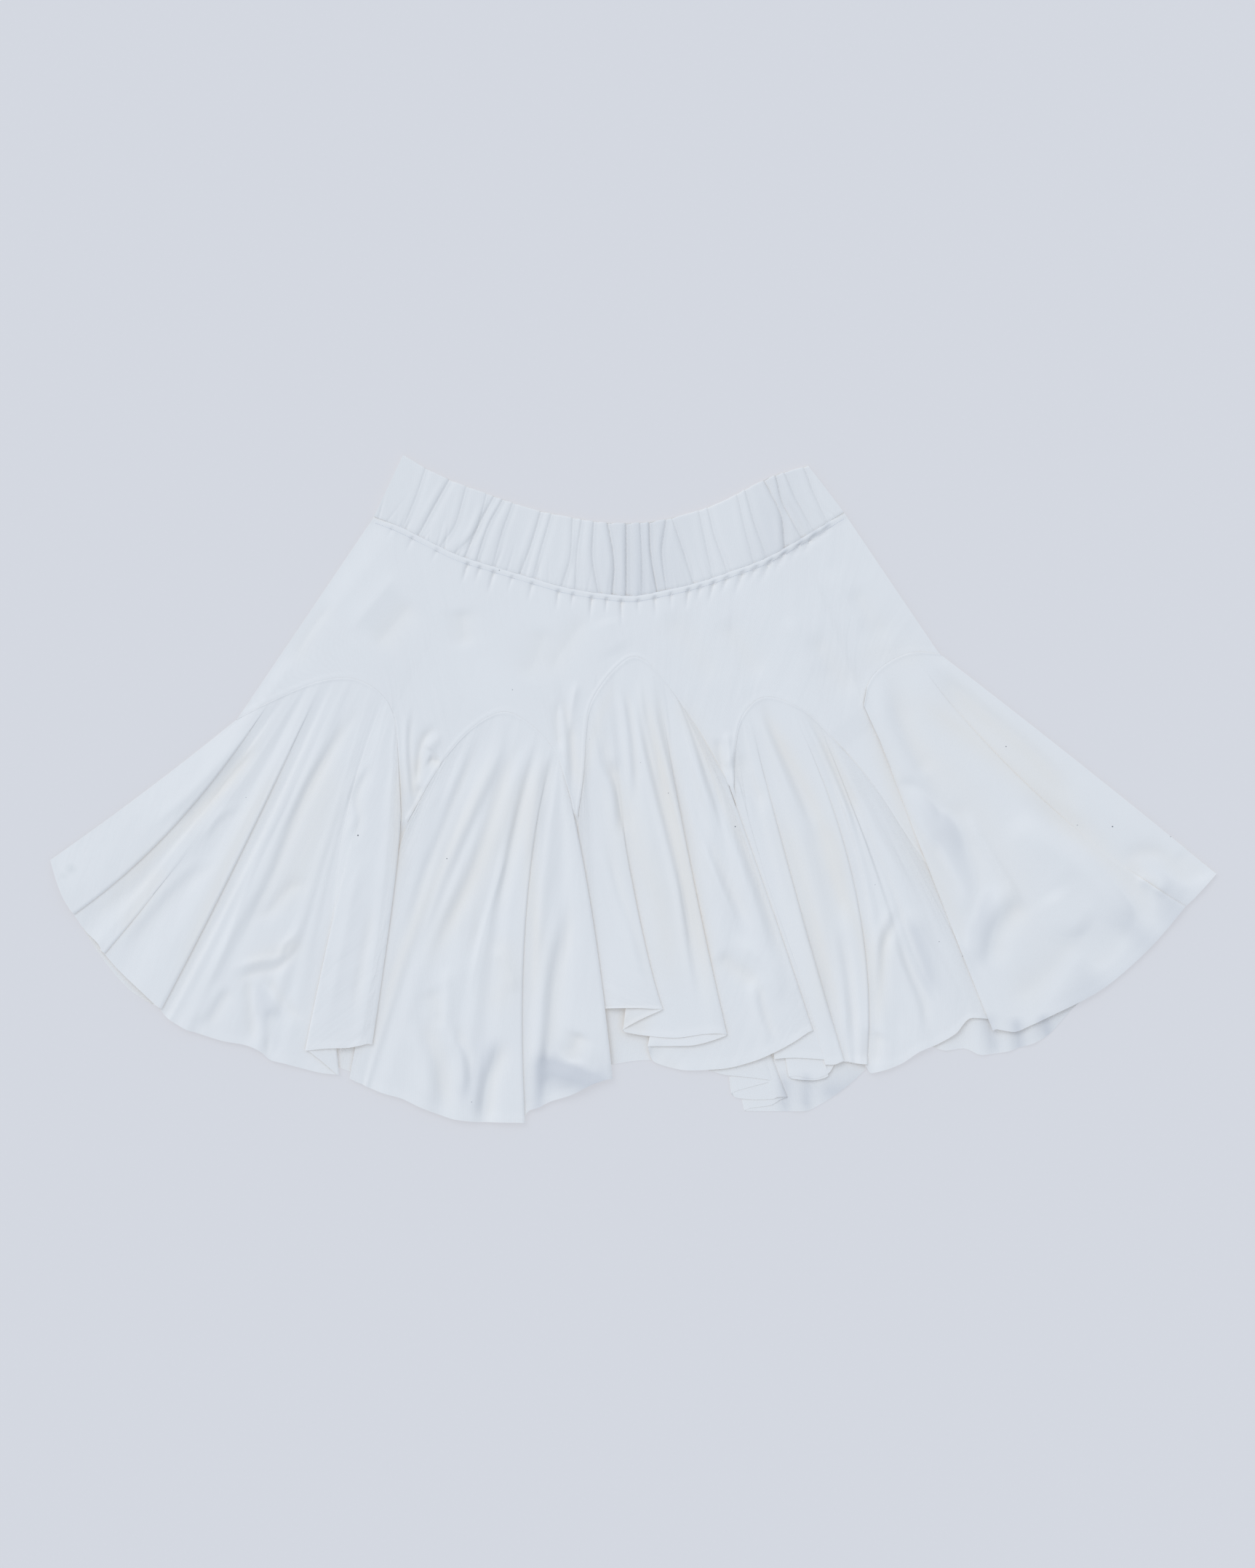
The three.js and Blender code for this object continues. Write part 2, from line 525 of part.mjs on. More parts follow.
// One half of the waistband: a plain inner face and an outer one with gathers
function bandGeometry({ top, seam, base, gathers, sign }) {
  const gatherDepth = (fraction, v) => gathers.reduce((sum, gather) => {
    const across = softCurve([gather.top, gather.mid, gather.seam])(2 * v);
    const away = (fraction - across) / gather.half;
    return sum + gather.depth * Math.exp(-away * away);
  }, 0);
  const columns = Array.from({ length: BAND_COLUMNS + 1 }, (_, i) => i / BAND_COLUMNS);
  const at = (fraction, v, z) => {
    const point = along(top, fraction).lerp(along(seam, fraction), v);
    if (v === 1) point.y += SEAM_GAP / 2;
    point.z = z;
    return point;
  };
  const puff = (fraction) => BAND_PUFF * Math.min(1, PUFF_ENDS * fraction, PUFF_ENDS * (1 - fraction));
  const outer = BAND_ROWS.map((v) => columns.map((fraction) => {
    const swell = gathers.length ? puff(fraction) * Math.sin(Math.PI * (0.15 + 0.7 * v)) : 0;
    const relief = Math.min(gatherDepth(fraction, v), DEEPEST_GATHER);
    return at(fraction, v, base + sign * (BAND_WALL + swell - relief));
  }));
  const width = columns.length;
  const points = outer.flat();
  const faces = gridSheet(outer).quads.flatMap(([a, b, c, d]) => [[a, b, c], [a, c, d]]);
  const innerTop = points.length;
  points.push(...columns.map((fraction) => at(fraction, 0, base)));
  const innerSeam = points.length;
  points.push(...columns.map((fraction) => at(fraction, 1, base)));
  const lastRow = (BAND_ROWS.length - 1) * width;
  for (let i = 0; i < BAND_COLUMNS; i += 1) {
    faces.push([innerTop + i, innerTop + i + 1, innerSeam + i + 1]);
    faces.push([innerTop + i, innerSeam + i + 1, innerSeam + i]);
    faces.push([innerTop + i, i, i + 1], [innerTop + i, i + 1, innerTop + i + 1]);
    faces.push([innerSeam + i, innerSeam + i + 1, lastRow + i + 1]);
    faces.push([innerSeam + i, lastRow + i + 1, lastRow + i]);
  }
  BAND_ROWS.slice(1).forEach((_, row) => {
    const first = row * width;
    faces.push([innerTop, first + width, first]);
    faces.push([innerTop + BAND_COLUMNS, first + BAND_COLUMNS, first + width + BAND_COLUMNS]);
  });
  faces.push([innerTop, innerSeam, lastRow]);
  faces.push([innerTop + BAND_COLUMNS, lastRow + BAND_COLUMNS, innerSeam + BAND_COLUMNS]);
  return meshGeometry(points, sign > 0 ? faces : faces.map(([a, b, c]) => [a, c, b]));
}

// A smooth rise from the side of the garment to its face
function sideHeight(distance) {
  return THREE.MathUtils.lerp(FRONT_REST, YOKE_LEVEL, THREE.MathUtils.smoothstep(distance, 0, SIDE_RISE));
}

const skirt = new THREE.Group();
skirt.name = 'flared_skirt';

function addPiece(name, geometry, colour) {
  const finish = { roughness: 0.85, metalness: 0, side: THREE.DoubleSide };
  const material = new THREE.MeshStandardMaterial({ color: colour, ...finish });
  const mesh = new THREE.Mesh(geometry, material);
  mesh.name = name;
  skirt.add(mesh);
}

const waistSteps = evenSteps(WAIST_SEAM, WAIST_STEPS);
const bandTopSteps = evenSteps(BAND_TOP, WAIST_STEPS);
const waistFraction = (x, line) => (x - line[0].x) / (line[line.length - 1].x - line[0].x);
const gathers = BAND_GATHERS.map(({ topX, midX, seamX, half, depth }) => ({
  top: waistFraction(topX, BAND_TOP),
  mid: (waistFraction(midX, BAND_TOP) + waistFraction(midX, WAIST_SEAM)) / 2,
  seam: waistFraction(seamX, WAIST_SEAM),
  half: half / (WAIST_SEAM[WAIST_SEAM.length - 1].x - WAIST_SEAM[0].x),
  depth,
}));

function addWaistband() {
  const band = { top: bandTopSteps, seam: waistSteps };
  const front = { ...band, base: FRONT_BAND_BASE, gathers, sign: 1 };
  const back = { ...band, base: BAND_WALL, gathers: [], sign: -1 };
  addPiece('waistband_front', bandGeometry(front), BAND_COLOUR);
  addPiece('waistband_back', bandGeometry(back), BAND_COLOUR);
}

function addYokes(frontSeams, backSeams) {
  const tongueRight = evenSteps(LAST_TONGUE_RIGHT, LAST_TONGUE_STEPS);
  const waist = waistSteps;
  const frontShape = { waist, seams: frontSeams, rows: FRONT_YOKE_ROWS, lastTongueRight: tongueRight };
  const front = yokeSheet({ ...frontShape, height: sideHeight });
  addPiece('yoke_front', wallGeometry(front, CLOTH_WALL), CLOTH_COLOUR);
  const back = yokeSheet({ waist, seams: backSeams, rows: BACK_YOKE_ROWS, height: () => BACK_LEVEL });
  addPiece('yoke_back', wallGeometry(back, CLOTH_WALL), SHADED_COLOUR);
}

function addFrontGodets(seams) {
  FRONT_FOLDS.forEach((panel, i) => {
    const { godetSide } = seams[i];
    const { left, leftTo, right, rightFrom } = panel.feet;
    const seamHeight = (s) => {
      const leftRise = THREE.MathUtils.smoothstep(s, 0, leftTo);
      const rightFall = THREE.MathUtils.smoothstep(s, rightFrom, Math.min(1, rightFrom + 0.2));
      return YOKE_LEVEL + (left - YOKE_LEVEL) * (1 - leftRise) + (right - YOKE_LEVEL) * rightFall;
    };
    const heightDown = (top, mid, hem, v) => softCurve([top, mid, hem])(2 * v ** FOLD_RISE);
    const way = { seam: godetSide, seamStep: FRONT_SEAM_STEP, rows: GODET_ROWS, lower: FRONT_REST };
    const shape = { ...panel, ...way, seamHeight, heightDown };
    const sheet = foldedPanel(shape);
    addPiece(`godet_front_${i + 1}`, wallGeometry(sheet, CLOTH_WALL), CLOTH_COLOUR);
  });
}

function addBackGodets(seams) {
  BACK_FOLDS.forEach((folds, i) => {
    const seamHeight = () => BACK_LEVEL;
    const heightDown = (top, mid, hem, v) => mid + (hem - mid) * THREE.MathUtils.smoothstep(v, 0.8, 1);
    const seam = seams[i].godetSide;
    const way = { seam, seamStep: BACK_SEAM_STEP, rows: BACK_ROWS, lower: BACK_LEVEL };
    const panel = { ...way, folds, seamHeight, heightDown };
    addPiece(`godet_back_${i + 1}`, wallGeometry(foldedPanel(panel), CLOTH_WALL), SHADED_COLOUR);
  });
}

function steppedSeams(seams) {
  return seams.map(({ neck, points }) => {
    const steps = evenSteps(points, ARCH_STEPS);
    const half = SEAM_GAP / 2;
    return { neck, yokeSide: movedRight(steps, -half), godetSide: movedRight(steps, half) };
  });
}

const frontSeams = steppedSeams(FRONT_SEAMS);
const backSeams = steppedSeams(BACK_SEAMS);
addWaistband();
addYokes(frontSeams, backSeams);
addFrontGodets(frontSeams);
addBackGodets(backSeams);

export default skirt;
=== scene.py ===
# A flared skirt of white jersey, laid flat on its back: waistband, scalloped yoke and godets.
# The tables are in millimetres on the real skirt: x to the right, y to the waist, z up.
import math
import random
from collections import namedtuple

import bpy
import numpy as np
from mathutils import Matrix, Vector


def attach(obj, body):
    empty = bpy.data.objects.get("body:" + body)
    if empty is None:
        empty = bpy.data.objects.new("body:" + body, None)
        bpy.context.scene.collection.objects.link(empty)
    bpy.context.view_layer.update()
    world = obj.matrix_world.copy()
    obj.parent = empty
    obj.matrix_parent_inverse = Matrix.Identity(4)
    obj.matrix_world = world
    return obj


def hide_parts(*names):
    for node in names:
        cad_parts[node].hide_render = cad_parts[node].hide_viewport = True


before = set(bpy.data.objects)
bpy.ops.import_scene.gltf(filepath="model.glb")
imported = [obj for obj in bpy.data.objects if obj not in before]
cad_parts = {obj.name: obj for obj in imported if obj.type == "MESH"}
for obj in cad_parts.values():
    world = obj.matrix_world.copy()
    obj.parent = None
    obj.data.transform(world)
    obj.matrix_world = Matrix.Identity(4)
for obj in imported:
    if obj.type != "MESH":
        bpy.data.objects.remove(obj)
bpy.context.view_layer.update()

MM = 0.001

# Walls of cloth, the gap between pieces at a seam, and the rise from one layer to the next
CLOTH = 0.55
BACK_CLOTH = 0.6
BAND_CLOTH = 1.9
SEAM_GAP = 0.05
LAYER_PITCH = 0.65

# Heights at which the cloth lies
BACK_LEVEL = 0.5
BACK_SINK = 0.2
FRONT_REST = 1.8
LOWEST_FRONT = 1.25
YOKE_LEVEL = 3.0
BAND_MIDDLE = 2.98
BACK_BAND_MIDDLE = 0.95
# How far in from its side edges the yoke has come up to its level
SIDE_RISE = 20
# How softly cloth flattens out on its lowest height
SOFT_LANDING = 0.5

# Folds: how soon they rise below a seam, sooner under 1, and the share of the solid's fold
# heights that the cloth keeps under its creases
FOLD_RISE = 0.6
FOLD_SHARE = 0.62
# Where cloth runs nearly along its seam: over what share of the seam and how far down folds die out
FLANK_START = 0.05
FLANK_WIDTH = 11
# Over what share of its seam a godet's right side comes down to its foot
FOOT_SHARE = 0.2
# Creases keep clear of cloth that lies on the surface: up to this height, and over this rise
GROUNDED = 1.2
GROUNDED_RISE = 1.6
# How many half widths of a crease its reach is
CREASE_REACH = 4
# Scales a step's profile so that the whole fall is 1
STEP_SHAPE = 1.17

# Seams: height, distance and half width of the ridge over a turned-in edge, and its share on each side
RIDGE_HEIGHT = 0.4
RIDGE_PLACE = 1.0
RIDGE_HALF = 1.1
YOKE_RIDGE = 0.8
GODET_RIDGE = 0.7
# The welt of the waist seam, and how far below it the yoke's creases begin
WELT_HEIGHT = 0.4
WELT_MIDDLE = 1.9
WELT_HALF = 1.8
WELT_RUN = 2.2
# Raw hems: how far in they curl, and how high
CURL_LENGTH = 7
FRONT_CURL = 0.5
BACK_CURL = 0.2
# The share of a back godet's length over which the folds of its hem rise
BACK_FOLD_SHARE = 0.25

# Waistband: its height, how far in its top and its seam edge are rounded, and its thinnest share there
BAND_HEIGHT = 51
TOP_ROUND = 1.6
SEAM_ROUND = 2.6
TOP_WALL = 0.3
SEAM_WALL = 0.62
# A gather: a pinched line, a trough that rolls away to its right and a swell to its left, each with
# its share of the gather's depth, its place and its half width
PINCH_SHARE = 0.55
PINCH_HALF = 0.55
ROLL_SHARE = 0.65
ROLL_PLACE = 2.2
ROLL_WIDTH = 1.25
SWELL_SHARE = 0.5
SWELL_PLACE = 3.6
SWELL_HALF = 2.8
DEEPEST_GATHER = 1.6
# The band's crown between its edges, and how far its top edge dips at a gather
CROWN = 0.2
TOP_DIP = 0.6
# Puckers over the seam
PUCKER_COUNT = 60
PUCKER_HALF = 0.9
# Gathers of the back half: share of the depth, lean across the band, and the highest
BACK_GATHER_SHARE = 0.6
BACK_GATHER_LEAN = 0.05
HIGHEST_BACK_GATHER = 0.8
# Where the gathers are tighter: x, how wide and by how much
TIGHT_PLACES = [(4, 24, 0.9), (98, 16, 0.6), (-95, 16, 0.2)]
# Stitches at the waist seam: how far below it each row runs, and a stitch's spacing, length and width
STITCH_ROWS = (("waist_stitches_upper", 0.1), ("waist_stitches_lower", 3.9))
STITCH = (1.15, 0.75, 0.4)
STITCH_LIFT = 0.05

# How finely each piece is divided: steps in millimetres, and numbers of steps, columns and rows
FOLD_STEP = 1.9
ROW_STEP = 2.1
BACK_STEP = 4.0
YOKE_LENGTH = 130
YOKE_STEP = 2.4
BACK_YOKE_STEP = 9
ARCH_STEPS = 16
FINE = 10
PATH_STEPS = 14
LINE_STEPS = 240
BAND_COLUMNS = 600
BAND_ROWS = 40
BACK_BAND_COLUMNS = 200
BACK_BAND_ROWS = 22

# Painted light and shade: how much painted bounce light warms hollows, how much painted shade dulls the
# tighter gathers and the pleats, and how much wider than its shape each of these painted tones is
HOLLOW_PAINTED_BOUNCE = 0.35
BAND_PAINTED_SHADE = 0.45
BAND_SHADE_WIDTH = 1.3
PLEAT_PAINTED_SHADE = 0.3
PLEAT_SHADE_WIDTH = 1.2
# The ends of the scale of painted shade and painted bounce light
DEEPEST_PAINTED_SHADE = -1
MOST_PAINTED_BOUNCE = 1.3
FRONT_WHITE = (0.88, 0.822, 0.752, 1)
FRONT_SHADED = (0.866, 0.808, 0.74, 1)
BAND_WHITE = (0.865, 0.808, 0.74, 1)
BAND_SHADED = (0.85, 0.793, 0.726, 1)
# Tints for painted bounce light in hollows and painted shade where the cloth turns away
PAINTED_BOUNCE_TINT = (1.0, 0.978, 0.945, 1)
PAINTED_SHADE_TINT = (0.8, 0.815, 0.85, 1)
# The white thread, darkened by painted shade of its stitch holes
THREAD_WITH_PAINTED_SHADE = (0.6, 0.6, 0.62, 1)
LINT_COLOUR = (0.06, 0.065, 0.08, 1)
SMUDGE_COLOUR = (0.62, 0.61, 0.56, 1)

# Floor, light and camera, in metres; the sun's width is in degrees
FLOOR_HALF = 2.5
FLOOR_COLOUR = (0.33, 0.302, 0.279, 1)
FLOOR_GLOW = (0.397, 0.414, 0.454, 1)
SKY_COLOUR = (0.775, 0.918, 1.132, 1)
SKY_STRENGTH = 0.68
KEY_COLOUR = (0.87, 0.925, 1.0)
KEY_STRENGTH = 1.34
# Share of the key light that casts shadows; the rest only fills
KEY_SHADOWED = 0.45
KEY_WIDTH = 38
KEY_FROM = (-0.6, 0.8, 1.15)
CAMERA_PLACE = (-0.004, 0.00325, 3.0)
VIEW_HEIGHT = 1.078
SENSOR = 36

Arch = namedtuple("Arch", "neck points")
Feet = namedtuple("Feet", "left left_to right right_from")
Godet = namedtuple("Godet", "feet starts ends folds")
Line = namedtuple("Line", "s drop mid hem")
Cut = namedtuple("Cut", "width length area")
# A fold: s is where it leaves the seam, 0 to 1; then its place halfway and at the hem, its heights,
# its tucks, the side it turns to where it is one turn of a tuck, and which way that turn drops
FOLD = "s mid_x mid_y hem_x hem_y mid_z hem_z mid_tuck hem_tuck side drop"


def table(columns, rows):
    """Rows with a name for each column. What a row leaves out is 0."""
    names = columns.split()
    Row = namedtuple("Row", names)
    return [Row(*row, *[0] * (len(names) - len(row))) for row in rows]


BAND_TOP = [
    (-158, 229.5), (-140, 219), (-120, 210), (-95, 201), (-70, 192.5), (-45, 187), (-20, 183.2),
    (10, 183.5), (35, 188.5), (60, 197), (80, 207.5), (97, 215.5), (120, 222),
]
WAIST_SEAM = [
    (-178, 187), (-160, 180), (-140, 170), (-120, 160.5), (-95, 152.5), (-70, 145), (-45, 138),
    (-20, 134), (0, 132.5), (20, 136), (45, 142), (70, 150.5), (90, 158), (110, 169), (130, 181),
    (144.5, 190),
]
BAND_GATHERS = table("top_x mid_x seam_x half depth", [
    (-141, -148, -158, 2.0, 0.6), (-124, -135, -147, 2.4, 1.0), (-112, -118, -131, 2.2, 0.6),
    (-98, -104, -121, 2.0, 0.6), (-93, -104, -114, 2.0, 0.9), (-87, -98, -106, 2.0, 0.8),
    (-80, -88, -95, 1.8, 0.6), (-61, -68, -77, 2.2, 0.9), (-54, -61, -68, 2.2, 0.7),
    (-40, -42, -49, 2.0, 0.8), (-34, -38, -40, 2.0, 0.8), (-26, -28, -25, 2.2, 0.9),
    (-17, -14, -16, 2.4, 1.0), (-5, -6, -7, 2.2, 1.0), (4, 4, 3, 1.8, 0.6), (10, 10, 13, 2.2, 1.0),
    (21, 17, 19, 2.4, 0.7), (25, 31, 37, 2.2, 0.8), (43, 46, 50, 2.0, 0.7), (49, 53, 60, 2.0, 0.8),
    (70, 73, 78, 1.8, 0.7), (76, 80, 87, 2.0, 0.8), (90, 98, 100, 2.6, 1.1),
    (98, 102, 113, 2.2, 1.0), (104, 111, 122, 2.2, 0.8), (117, 123, 132, 2.2, 0.9),
])
FRONT_SEAMS = [
    Arch((0, 10), [
        (-272, 48), (-245, 62), (-215, 74), (-193, 76), (-175, 67), (-165, 52), (-161.5, 17),
        (-159.5, -22),
    ]),
    Arch((4, 12), [
        (-154.5, -21), (-131, 19), (-108, 44), (-88, 53), (-69, 43), (-53, 24), (-47, 5),
        (-41.5, -14),
    ]),
    Arch((5, 13), [
        (-38, -17), (-34, 12), (-32.5, 40), (-29, 59), (-12, 83), (1, 91), (16, 81), (35, 55),
        (51, 29), (66, 2),
    ]),
    Arch((3, 7), [
        (69, 1), (69.5, 25), (75, 50), (89, 63), (115, 55), (142, 29), (166, 1), (191, -37),
        (211, -65), (229, -90),
    ]),
    Arch((0, 16), [
        (158, 57), (162, 74), (172, 85), (190, 93.5), (210, 93),
    ]),
]
# Where the cloth of the first three tongues ends, under the godets: its tail's steps, its width at
# the end, and how far and over what share of its length it falls
TONGUE_ENDS = [(-163, -54), (-37, -42), (78, -34)]
TAIL_STEPS = 16
TAIL_WIDTH = 0.02
TAIL_FALL = 1.2
TAIL_FALL_SHARE = 0.3
# The right side of the last tongue, which is tucked under, and how steeply it goes down
LAST_TONGUE_FALL = 13
LAST_TONGUE_RIGHT = [
    (158, 57), (172, 27), (180, 5), (191, -18), (206, -43), (219, -65), (233, -90),
]
FRONT_FOLDS = [
    Godet(Feet(1.8, 0.1, 4.4, 0.7), False, True, table(FOLD, [
        (0, -333, 0, -400.5, -49, 1.8, 1.8),
        (0.05, -326, -9, -396, -64, 4.0, 3.8),
        (0.09, -320, -17, -391, -76, 5.2, 5.0),
        (0.13, -314, -24, -384, -86, 5.4, 5.2, 4, 4.5),
        (0.18, -307, -27, -376, -98, 2.0, 2.0),
        (0.21, -303, -28, -367, -107, 3.2, 4.6),
        (0.24, -297, -31, -363, -113, 3.6, 4.8, 0, 4),
        (0.27, -287, -38, -355, -123, 2.0, 2.0),
        (0.3, -276, -40, -337, -140, 4.6, 5.2),
        (0.33, -267, -39, -324, -151, 5.2, 5.6, 3, 6),
        (0.36, -261, -41, -321.5, -156, 1.9, 2.0),
        (0.38, -258, -42, -318, -159, 3.6, 4.2),
        (0.4, -254, -43, -314, -161.5, 3.4, 3.6),
        (0.42, -250, -44, -307, -165.5, 4.0, 4.8),
        (0.44, -244, -46, -299, -168, 2.8, 2.8),
        (0.465, -233, -51, -281, -173.5, 3.2, 3.4),
        (0.49, -223, -55, -267, -176, 3.2, 2.8),
        (0.505, -218, -57, -257, -180, 3.6, 4.4),
        (0.52, -214, -59, -249, -186.5, 3.0, 2.2),
        (0.535, -211, -60, -239, -189, 2.6, 3.4),
        (0.55, -208, -61, -226, -192.5, 2.0, 2.0),
        (0.56, -205, -61, -213, -195.5, 1.9, 1.9),
        (0.57, -203, -61, -202, -196.5, 2.3, 2.6, 1, 3, 1, -1),
        (0.581, -201, -61, -213, -188, 3.2, 3.3),
        (0.592, -199, -60, -225, -179.5, 4.2, 4.0, 1, 3, -1, -1),
        (0.608, -192, -62, -211, -178.5, 4.8, 4.8),
        (0.63, -180, -68, -197, -178, 4.4, 4.8),
        (0.66, -172, -70, -188, -176.5, 5.6, 5.9),
        (0.975, -165, -72, -179.5, -175.5, 5.6, 5.7, 5, 7),
    ])),
    Godet(Feet(3.1, 0.25, 3.8, 0.8), False, True, table(FOLD, [
        (0, -172, -86, -195, -199, 2.2, 1.9),
        (0.3, -161, -84, -190, -201.5, 2.8, 2.8),
        (0.37, -154, -83, -186, -203, 2.4, 2.2),
        (0.44, -147, -83, -183.5, -204.5, 3.5, 3.3),
        (0.5, -141, -83, -180, -206, 2.7, 2.4),
        (0.54, -133, -83, -171, -209.5, 3.9, 3.9),
        (0.58, -125, -84, -160, -212.5, 2.9, 3.4),
        (0.61, -110, -86, -146, -219, 4.6, 4.6),
        (0.64, -103, -87, -134, -223.5, 4.2, 3.4),
        (0.67, -98, -88, -121, -227.5, 4.8, 5.0),
        (0.7, -92, -88, -104, -229, 3.2, 2.6),
        (0.73, -84, -88, -90, -229.2, 4.8, 5.2),
        (0.77, -74, -89, -74.5, -229.5, 5.2, 5.4, 2.5, 4.5),
        (0.8, -68, -90, -72, -221.5, 2.8, 2.2),
        (0.82, -62, -91, -65, -219, 4.4, 3.6),
        (0.84, -50, -93, -57, -215, 2.4, 2.6),
        (0.87, -40, -95, -43, -210.5, 4.8, 5.0),
        (0.9, -34, -96, -28, -203, 5.6, 6.2),
        (0.97, -27, -97, -14.5, -199, 5.8, 6.6, 5, 6),
    ])),
    Godet(Feet(2.2, 0.25, 3.5, 0.68), False, True, table(FOLD, [
        (0, -34, -92, -25, -152, 2.2, 2.8),
        (0.29, -24, -87, -18, -151, 2.8, 3.4),
        (0.31, -16, -84, -11.5, -150.7, 3.0, 6.2),
        (0.33, -10, -80, 3, -150.5, 3.6, 7.5),
        (0.36, -4, -72, 12, -151, 5.6, 7.6),
        (0.38, 0, -70, 20, -151.5, 4.9, 6.9),
        (0.4, -2, -71, 3, -159.5, 3.9, 5.8),
        (0.42, -4, -69, -7, -166, 2.9, 4.9),
        (0.44, 0, -66, 4, -169, 1.9, 3.9),
        (0.48, 13, -54, 28, -171, 4.2, 5.3),
        (0.53, 26, -45, 48, -168.5, 2.8, 5.7),
        (0.57, 34, -44, 57, -168, 5.3, 7.0),
        (0.59, 38, -48, 64, -169, 4.7, 6.2),
        (0.605, 31.5, -48, 38, -176.5, 3.8, 4.9),
        (0.62, 27, -47, 10, -177, 2.8, 3.7),
        (0.635, 28, -47, 13, -186.5, 1.9, 2.4),
        (0.655, 46, -46, 38, -193.5, 2.4, 2.5),
        (0.68, 56, -44, 60, -192.5, 4.6, 3.4),
        (0.71, 64, -40, 80, -188, 2.2, 4.4),
        (0.75, 74, -50, 96, -181.5, 4.8, 5.6),
        (0.8, 84, -64, 110, -174, 3.8, 5.2),
        (0.975, 92, -74, 123, -166, 4.8, 5.6, 3.5, 5),
    ])),
    Godet(Feet(2.2, 0.16, 1.8, 0.42), False, False, table(FOLD, [
        (0, 80, -80, 97, -185.6, 2.2, 3.0),
        (0.03, 86, -80, 110, -184.8, 2.4, 3.0),
        (0.06, 94, -79, 131, -186, 2.6, 3.1),
        (0.065, 97, -79, 139, -187, 2.3, 2.6),
        (0.08, 95, -79, 134, -195.5, 2.0, 2.2),
        (0.1, 92, -79, 123, -199.2, 2.0, 2.1),
        (0.12, 89, -79, 112, -197.3, 2.0, 2.1),
        (0.13, 87, -80, 107, -198, 1.9, 1.9),
        (0.14, 88, -80, 109, -199.2, 1.9, 1.6),
        (0.15, 93, -78, 123, -200.3, 1.9, 1.6),
        (0.158, 98, -76, 134, -196.8, 1.9, 1.8),
        (0.168, 101, -75, 132, -189.5, 2.4, 3.4),
        (0.175, 105, -73, 137.5, -189.5, 4.4, 5.0),
        (0.2, 111, -71, 144.5, -187, 4.6, 5.4, 3, 4),
        (0.22, 116, -69, 147, -187.5, 2.0, 2.2),
        (0.235, 124, -67, 149.5, -188, 4.2, 3.2),
        (0.25, 136, -67, 152, -188.5, 2.2, 2.6),
        (0.28, 143, -65, 156, -189, 4.2, 5.0),
        (0.31, 151, -64, 160.5, -189, 4.6, 5.0, 2.5, 3),
        (0.33, 156, -63, 163, -195.5, 2.0, 2.2),
        (0.35, 160, -63, 172, -193.5, 4.0, 4.0),
        (0.37, 164, -64, 184, -189, 3.6, 2.6),
        (0.39, 168, -65, 197, -180.5, 4.4, 4.4),
        (0.41, 172, -67, 209, -175.5, 2.2, 3.0),
        (0.45, 182, -66, 221, -168.5, 4.6, 4.4),
        (0.52, 200, -78, 233, -157.5, 2.2, 3.0),
        (1, 240, -124, 256, -159, 1.8, 3.0),
    ])),
    Godet(Feet(5.0, 0.3, 1.8, 0.8), True, False, table(FOLD, [
        (0.07, 200, -47, 247, -166, 4.8, 5.2, -4.5, -6),
        (0.18, 216, -35, 261, -167, 4.6, 4.4),
        (0.27, 233, -40, 273, -162.5, 5.4, 4.2),
        (0.36, 248, -34, 287, -156, 5.2, 3.6),
        (0.46, 258, -27, 320, -139, 5.6, 3.4),
        (0.56, 267, -18, 347, -117, 5.2, 3.2),
        (0.65, 273, -11, 366, -97, 5.4, 3.6),
        (0.74, 279, -6, 379, -81, 5.4, 4.4, 4, 4),
        (0.83, 287, 2, 385, -75.5, 3.6, 2.4),
        (0.92, 296, 10, 392, -68, 4.4, 3.0),
        (1, 306, 18, 400.5, -58.5, 1.8, 1.8),
    ])),
]
BACK_SEAMS = [
    Arch((0, 11), [(-272, 48), (-240, 64), (-212, 66), (-190, 50), (-176, -8)]),
    Arch((5, 11), [(-172, -8), (-150, 38), (-116, 60), (-84, 40), (-62, -18)]),
    Arch((5, 11), [(-58, -18), (-40, 44), (-6, 72), (26, 46), (46, -14)]),
    Arch((5, 11), [(50, -14), (68, 44), (100, 68), (126, 50), (146, 0)]),
    Arch((5, 16), [(150, 0), (162, 58), (180, 86), (196, 92), (210, 93)]),
]
